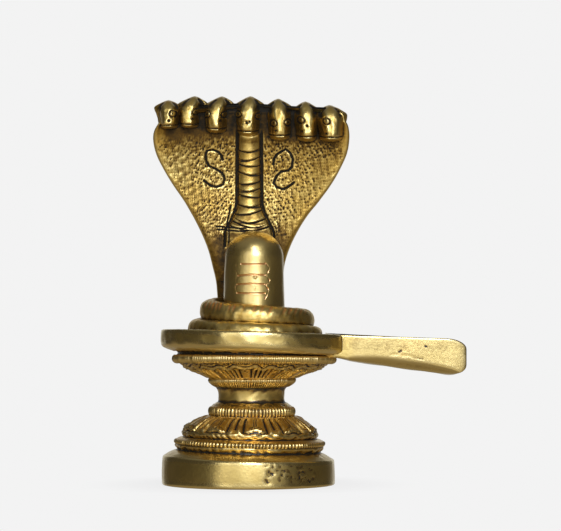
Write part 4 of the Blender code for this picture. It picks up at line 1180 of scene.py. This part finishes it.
# %% [markdown]
# ## Open sky
# Rays sent out from a corner count how much of the sky it sees, which finds the deep gaps between
# pieces. That is slow, so it is done for one corner in three and spread to the others. A spiral
# with golden steps spreads the rays evenly. All the numbers are kept for the brass to read. Where
# little sky is seen, the brass is darkened: partly dirt, partly painted shade in the gaps.
# %% Open sky


def everything(things):
    """One search tree over all the pieces, for rays."""
    places = []
    faces = []
    first = 0
    for thing in things:
        places += [corner.co for corner in thing.data.vertices]
        faces += [[first + i for i in face.vertices] for face in thing.data.polygons]
        first += len(thing.data.vertices)
    return BVHTree.FromPolygons(places, faces)


def sky_directions(count):
    """Directions spread evenly over a ball."""
    index = np.arange(count) + 0.5
    height = 1.0 - 2.0 * index / count
    angle = math.pi * (1.0 + 5.0**0.5) * index
    flat = np.sqrt(1.0 - height**2)
    return np.stack((flat * np.cos(angle), flat * np.sin(angle), height), axis=1)


SKY_RAYS = 14
SKY_EVERY = 3
SKY_REACH = 9.0 * MM
pieces = [pedestal, lingam, hood, coil] + head_things
tree = everything(pieces)
directions = sky_directions(2 * SKY_RAYS)


def openness(points, normals):
    """The share of the sky that each corner sees within a short reach."""
    seen = np.ones(len(points))
    for i, (point, normal) in enumerate(zip(points * MM, normals)):
        start = Vector(point + normal * 0.12 * MM)
        facing = directions @ normal
        hits = 0.0
        total = 0.0
        for direction, weight in zip(directions, facing):
            if weight < 0.15:
                continue
            total += weight
            if tree.ray_cast(start, Vector(direction), SKY_REACH)[0] is not None:
                hits += weight
        seen[i] = 1.0 - hits / max(total, 0.01)
    return seen


for thing in pieces:
    (fine, coarse), normals, points, edges, degree = hollowness(thing, HOLLOW_ROUNDS)
    seen = np.ones(len(points))
    # The sky that the chosen corners see, and beside it which corners are known
    spread = np.zeros((len(points), 2))
    spread[::SKY_EVERY, 0] = openness(points[::SKY_EVERY], normals[::SKY_EVERY])
    spread[::SKY_EVERY, 1] = 1.0
    for _ in range(3):
        spread = smoothed(spread, edges, degree)
    seen = spread[:, 0] / np.maximum(spread[:, 1], 1e-6)
    store(thing, "fine", np.clip(fine / FINE_HOLLOW, -1.0, 1.0))
    store(thing, "coarse", np.clip(coarse / COARSE_HOLLOW, -1.0, 1.0))
    store(thing, "open", seen)
    print(thing.name, "sees", round(float(seen.mean()), 2), "of the sky")

# %% [markdown]
# ## A short way to write materials
# A material is a graph of nodes. Written out in full, each node takes several lines. This helper
# makes a node and fills its sockets in one call: a socket that is given another node's output is
# linked to it, and one that is given a number or a colour keeps that.
# %% Node helper
EVEN = (1.0, 1.0, 1.0)


class Graph:
    """Short words for building the nodes of one material, or of the room."""

    def __init__(self, owner):
        owner.use_nodes = True
        self.tree = owner.node_tree

    def node(self, kind, settings=(), **inputs):
        """A new node. Its sockets are named in words or by number, as i0, i1 and so on."""
        made = self.tree.nodes.new(kind)
        for key, value in dict(settings).items():
            setattr(made, key, value)
        for key, value in inputs.items():
            self.put(made.inputs[int(key[1:]) if key[1:].isdigit() else key.replace("_", " ")], value)
        return made

    def put(self, socket, value):
        if isinstance(value, bpy.types.NodeSocket):
            self.tree.links.new(value, socket)
        else:
            socket.default_value = value

    def read(self, name):
        return self.node("ShaderNodeAttribute", {"attribute_name": name}).outputs["Fac"]

    def sum(self, *terms):
        """Adds up pairs of an output and a factor. A bare number is added as it is."""
        total = 0.0
        for term in terms:
            value, factor = term if isinstance(term, tuple) else (term, 1.0)
            multiply_add = {"operation": "MULTIPLY_ADD"}
            total = self.node("ShaderNodeMath", multiply_add, i0=value, i1=factor, i2=total).outputs[0]
        return total

    def clamp(self, value, low, high):
        """0 below low, 1 above high, and a soft step between."""
        smooth = {"interpolation_type": "SMOOTHSTEP"}
        return self.node("ShaderNodeMapRange", smooth, Value=value, From_Min=low, From_Max=high).outputs[0]

    def times(self, first, second):
        return self.node("ShaderNodeMath", {"operation": "MULTIPLY"}, i0=first, i1=second).outputs[0]

    def mix(self, factor, first, second):
        colours = {"data_type": "RGBA"}
        return self.node("ShaderNodeMix", colours, i0=factor, i6=first, i7=second).outputs[2]

    def noise(self, scale, detail, stretch=EVEN):
        place = self.node("ShaderNodeTexCoord").outputs["Object"]
        if stretch != EVEN:
            place = self.node("ShaderNodeMapping", Vector=place, Scale=stretch).outputs[0]
        return self.node("ShaderNodeTexNoise", Vector=place, Scale=scale, Detail=detail).outputs["Fac"]


print("node helper ready")

# %% [markdown]
# ## Brass
# The brass is one metal with several finishes, so one function builds them all. Its base colour
# drifts between yellow and brown on a slow noise. Ridges are rubbed pale, and the spout's outer
# part is painted paler as a painted sheen. Where the hollow numbers say so, a brown tarnish and
# then black dirt cover it, broken up by a fine noise. The same brown and black are painted shade
# where little sky is seen and where the black number holds painted shade. Freshly cut places show
# copper. Dirt and painted shade are rough and hardly metallic, a small bump gives the grain of the
# casting, and a thin coat stands for the old polish that gives smooth parts a second gloss.
# %% Brass material
YELLOW_BRASS = (0.80, 0.59, 0.18, 1.0)
BROWN_BRASS = (0.82, 0.50, 0.085, 1.0)
PALE_BRASS = (0.95, 0.77, 0.35, 1.0)
COPPER = (0.96, 0.50, 0.16, 1.0)
UMBER = (0.22, 0.12, 0.026, 1.0)
DIRT_AND_SHADE = (0.018, 0.015, 0.009, 1.0)
# Sizes of the noises, in waves to a metre
SLOW_NOISE = 95.0
STREAK_NOISE = 260.0
SMALL_NOISE = 420.0
PIT_NOISE = 800.0
SPECK_NOISE = 1500.0
GRAIN_DEPTH = 0.0001
COAT_ROUGHNESS = 0.22
COAT_IOR = 1.7


def brass(name, finish):
    """One brass finish from a few numbers."""
    material = bpy.data.materials.new(name)
    g = Graph(material)
    shader = g.tree.nodes["Principled BSDF"]
    slow = g.noise(SLOW_NOISE, 3.0)
    speck = g.noise(SPECK_NOISE, 4.0)
    small = g.noise(SMALL_NOISE, 3.0)
    streak = g.noise(STREAK_NOISE, 4.0, finish.get("streak", EVEN))
    fine = g.read("fine")
    coarse = g.read("coarse")
    seen = g.read("open")
    pale = g.read("pale")
    rubbed = g.read("rubbed")
    carved = g.read("carved")
    pits = g.read("pits")
    specks = g.times(pits, g.clamp(g.noise(PIT_NOISE, 5.0), 0.5, 0.64))
    # Dirt and painted shade: hollows, little sky, the black number, and a broken edge from the noises.
    # Little sky and part of the black number are painted shade; hollows, pits and cut lines are dirt.
    dirt_and_shade = g.sum(
        (fine, finish["fine_dirt"]), (coarse, finish["coarse_dirt"]), (seen, -finish["sky_dirt_and_shade"]),
        finish["sky_dirt_and_shade"] * 0.9, (speck, 0.45), (small, 0.5), (g.read("black"), 1.1), (pits, 0.1),
        (specks, 0.6), (rubbed, -0.55), (pale, 0.34), -0.47 - finish.get("clean", 0.0),
    )
    tarnish_and_shade = g.clamp(dirt_and_shade, -0.05, 0.55)
    dirt_and_shade = g.clamp(dirt_and_shade, 0.3, 0.95)
    brown = g.sum((slow, 1.6), (small, 0.8), (carved, 0.9), (coarse, 0.3), finish["brown"] - 1.2)
    colour = g.mix(g.clamp(brown, 0.0, 1.0), YELLOW_BRASS, BROWN_BRASS)
    ridge = g.sum((fine, -0.9), (coarse, -0.5), (small, 0.4), -0.2)
    worn = g.clamp(ridge, 0.05, 0.8)
    # Worn ridges, and the painted sheen on the spout's outer part, turn pale.
    colour = g.mix(g.sum((worn, finish["wear"]), (pale, 0.55)), colour, PALE_BRASS)
    colour = g.mix(tarnish_and_shade, colour, UMBER)
    colour = g.mix(g.clamp(g.read("cut"), 0.15, 0.6), colour, COPPER)
    colour = g.mix(dirt_and_shade, colour, DIRT_AND_SHADE)
    rough = g.sum(
        (slow, 0.12), (speck, 0.14), (streak, 0.1), (dirt_and_shade, 0.32), (worn, -0.1), (carved, 0.06),
        (rubbed, 0.1), finish["rough"] - 0.18,
    )
    metal = g.sum((dirt_and_shade, -0.95), 1.0)
    height = g.sum((speck, finish["grain"]), (small, finish["grain"]), (streak, finish["grain"] * 0.6))
    relief = g.node("ShaderNodeBump", Height=height, Strength=1.0, Distance=GRAIN_DEPTH)
    for socket, value in (
        ("Base Color", colour), ("Roughness", rough), ("Metallic", metal), ("Specular IOR Level", 0.2),
        ("Coat Weight", finish["coat"]), ("Coat Roughness", COAT_ROUGHNESS), ("Coat IOR", COAT_IOR),
        ("Normal", relief.outputs[0]),
    ):
        g.put(shader.inputs[socket], value)
    return material


print("brass from", YELLOW_BRASS[:3], "to", BROWN_BRASS[:3])

# %% [markdown]
# ## The finishes
# Each part was finished in its own way. The pedestal is dirty in its grooves and rubbed on its
# ridges, the lingam was polished and has the strongest coat, the hood is brown and dull, and the
# coil has more dirt and painted shade in its gaps than the heads. The numbers say how much of each
# a finish has.
# %% Finishes
PEDESTAL_FINISH = dict(
    fine_dirt=0.85, coarse_dirt=0.5, sky_dirt_and_shade=0.5, brown=0.05, wear=0.55, rough=0.33, grain=0.35,
    coat=0.5, streak=(0.3, 0.3, 2.5),
)
LINGAM_FINISH = dict(
    fine_dirt=0.15, coarse_dirt=0.3, sky_dirt_and_shade=0.4, brown=-0.2, wear=0.3, rough=0.35, grain=0.32,
    coat=1.0, clean=0.12, streak=(1.0, 1.0, 0.3),
)
HOOD_FINISH = dict(
    fine_dirt=0.5, coarse_dirt=0.5, sky_dirt_and_shade=0.75, brown=0.5, wear=0.3, rough=0.42, grain=0.35,
    coat=0.0, clean=-0.31,
)
NAGA_FINISH = dict(
    fine_dirt=0.5, coarse_dirt=0.5, sky_dirt_and_shade=0.6, brown=0.35, wear=0.45, rough=0.42, grain=0.6,
    coat=0.1, clean=-0.05,
)
# The coil's larger sky number paints more shade, with dirt, in the gaps between its turns.
COIL_FINISH = dict(NAGA_FINISH, brown=0.5, clean=-0.14, wear=0.3, sky_dirt_and_shade=1.1)
for things, name, finish in (
    ([pedestal], "aged brass of the pedestal", PEDESTAL_FINISH),
    ([lingam], "polished brass of the lingam", LINGAM_FINISH),
    ([hood], "chased brass of the hood", HOOD_FINISH),
    ([coil], "cast brass of the coil", COIL_FINISH),
    (head_things, "worn brass of the heads", NAGA_FINISH),
):
    material = brass(name, finish)
    for thing in things:
        thing.data.materials.clear()
        thing.data.materials.append(material)
        thing.data.shade_smooth()
print(len(bpy.data.materials), "materials")

# %% [markdown]
# ## Floor and backdrop
# The photograph has a plain pale ground. A glowing material gives the floor and the wall behind
# exactly its grey. Near the object the floor glows a little less and takes some light, so that a
# soft shadow shows. Both are kept out of the reflections, where the room's colour takes over.
# %% Floor and backdrop
GROUND_GREY = (0.896, 0.896, 0.896, 1.0)
SHADED_GREY = (0.80, 0.80, 0.80, 1.0)
SHADE_CATCHER = (0.12, 0.12, 0.12, 1.0)
SHADE_NEAR = 0.022
SHADE_FAR = 0.045
STUDIO_RADIUS = 2.5


def stage_material(name, shadow):
    """A pale surface that shows its own grey, and near the object a trace of the shadow."""
    material = bpy.data.materials.new(name)
    g = Graph(material)
    g.tree.nodes.clear()
    look = g.node("ShaderNodeEmission", Color=GROUND_GREY).outputs[0]
    if shadow:
        dim = g.node("ShaderNodeEmission", Color=SHADED_GREY)
        plain = g.node("ShaderNodeBsdfDiffuse", Color=SHADE_CATCHER)
        both = g.node("ShaderNodeAddShader", i0=dim.outputs[0], i1=plain.outputs[0])
        place = g.node("ShaderNodeNewGeometry").outputs["Position"]
        away = g.node("ShaderNodeVectorMath", {"operation": "LENGTH"}, i0=place).outputs["Value"]
        far = g.clamp(away, SHADE_NEAR, SHADE_FAR)
        look = g.node("ShaderNodeMixShader", i0=far, i1=both.outputs[0], i2=look).outputs[0]
    g.node("ShaderNodeOutputMaterial", i0=look)
    return material


def stage_piece(name, shape, material):
    """Makes a piece of the studio, which the object doesn't reflect."""
    mesh = bpy.data.meshes.new(name)
    shape.to_mesh(mesh)
    shape.free()
    thing = bpy.data.objects.new(name, mesh)
    bpy.context.collection.objects.link(thing)
    mesh.materials.append(material)
    thing.visible_glossy = False
    thing.visible_diffuse = False
    thing.visible_shadow = False


shape = bmesh.new()
bmesh.ops.create_circle(shape, cap_ends=True, segments=64, radius=STUDIO_RADIUS)
stage_piece("floor", shape, stage_material("pale floor", True))
shape = bmesh.new()
bmesh.ops.create_uvsphere(shape, u_segments=48, v_segments=24, radius=STUDIO_RADIUS)
stage_piece("backdrop", shape, stage_material("pale backdrop", False))
print("the floor's radius is", STUDIO_RADIUS, "m")

# %% [markdown]
# ## Lights
# Two softboxes near the camera make the bright streaks down the lingam and the foot. Four wide
# and weaker lamps fill in the carving. All stand at an angle and a distance from the figure's
# middle and look at it. The cool tint of the softboxes makes the highlights pale, as on real
# brass. The standard view transform keeps the pale ground as it is.
# %% Lights
bpy.context.scene.view_settings.view_transform = "Standard"
LIGHT_AIM = Vector((0.0, 0.0, 0.05))
# name, angle right of the camera, elevation, distance, width, height, watts, colour
LIGHTS = (
    ("front softbox", 7.0, 17.0, 0.80, 0.34, 0.24, 1.3, (0.85, 0.98, 1.4)),
    ("high softbox", 7.0, 38.0, 0.80, 0.18, 0.36, 1.25, (0.95, 1.0, 1.15)),
    ("left fill", -30.0, 8.0, 0.90, 0.26, 0.50, 0.4, (1.0, 1.0, 1.0)),
    ("middle fill", 5.0, 9.0, 1.00, 0.80, 0.42, 0.95, (0.97, 0.99, 1.05)),
    ("upper fill", 4.0, 42.0, 1.00, 0.80, 0.50, 0.45, (1.0, 1.0, 1.0)),
    ("wide fill", 2.0, 8.0, 1.30, 1.9, 1.0, 1.0, (1.0, 0.98, 0.94)),
)
for name, aside, above, distance, width, height, watts, colour in LIGHTS:
    lamp = bpy.data.lights.new(name, "AREA")
    lamp.shape = "RECTANGLE"
    lamp.size = width
    lamp.size_y = height
    lamp.energy = watts
    lamp.color = colour
    thing = bpy.data.objects.new(name, lamp)
    aside = math.radians(aside)
    above = math.radians(above)
    level = math.cos(above)
    direction = Vector((math.sin(aside) * level, -math.cos(aside) * level, math.sin(above)))
    thing.location = direction * distance + LIGHT_AIM
    thing.rotation_euler = direction.to_track_quat("Z", "Y").to_euler()
    thing.visible_camera = False
    bpy.context.collection.objects.link(thing)
print(len(LIGHTS), "soft lights")

# %% [markdown]
# ## Room
# Polished brass shows the room round it, and the world's colour stands in for that room. Dark
# sides draw the dark bands down the lingam. The pale wall behind shows as a thin bright rim at
# each grazing edge, and the warm table in front lights the undersides. Each step blends two
# colours along one part of a direction, so there is no hard edge anywhere.
# %% Room
room = bpy.data.worlds.new("room")
bpy.context.scene.world = room
g = Graph(room)
g.tree.nodes.clear()
ways = g.node("ShaderNodeSeparateXYZ", i0=g.node("ShaderNodeTexCoord").outputs["Generated"])


def room_step(part, low, high, first, second):
    """A colour that goes from the first to the second as this part of a direction goes low to high."""
    return g.mix(g.clamp(ways.outputs[part], low, high), first, second)


DARK_SIDES = (0.052, 0.046, 0.036, 1.0)
PALE_WALL = (0.62, 0.62, 0.60, 1.0)
FRONT_WALL = (0.26, 0.255, 0.24, 1.0)
TABLE_FRONT = (0.60, 0.54, 0.43, 1.0)
TABLE_SIDES = (0.24, 0.20, 0.14, 1.0)
CEILING = (0.16, 0.155, 0.14, 1.0)
front = room_step("Y", -0.5, -0.95, DARK_SIDES, FRONT_WALL)
walls = room_step("Y", 0.78, 0.985, front, PALE_WALL)
above = room_step("Z", 0.45, 0.9, walls, CEILING)
table = room_step("Y", -0.55, -0.9, TABLE_SIDES, TABLE_FRONT)
below = room_step("Z", -0.06, -0.4, above, table)
g.node("ShaderNodeOutputWorld", i0=g.node("ShaderNodeBackground", Color=below).outputs[0])
print("the room has", len(g.tree.nodes), "nodes")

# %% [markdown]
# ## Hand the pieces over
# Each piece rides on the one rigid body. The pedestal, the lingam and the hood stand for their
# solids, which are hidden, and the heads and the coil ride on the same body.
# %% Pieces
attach(pedestal, "root")
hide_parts("yoni_pedestal")
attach(lingam, "root")
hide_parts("lingam")
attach(hood, "root")
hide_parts("naga")
for thing in head_things + [coil]:
    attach(thing, "root")
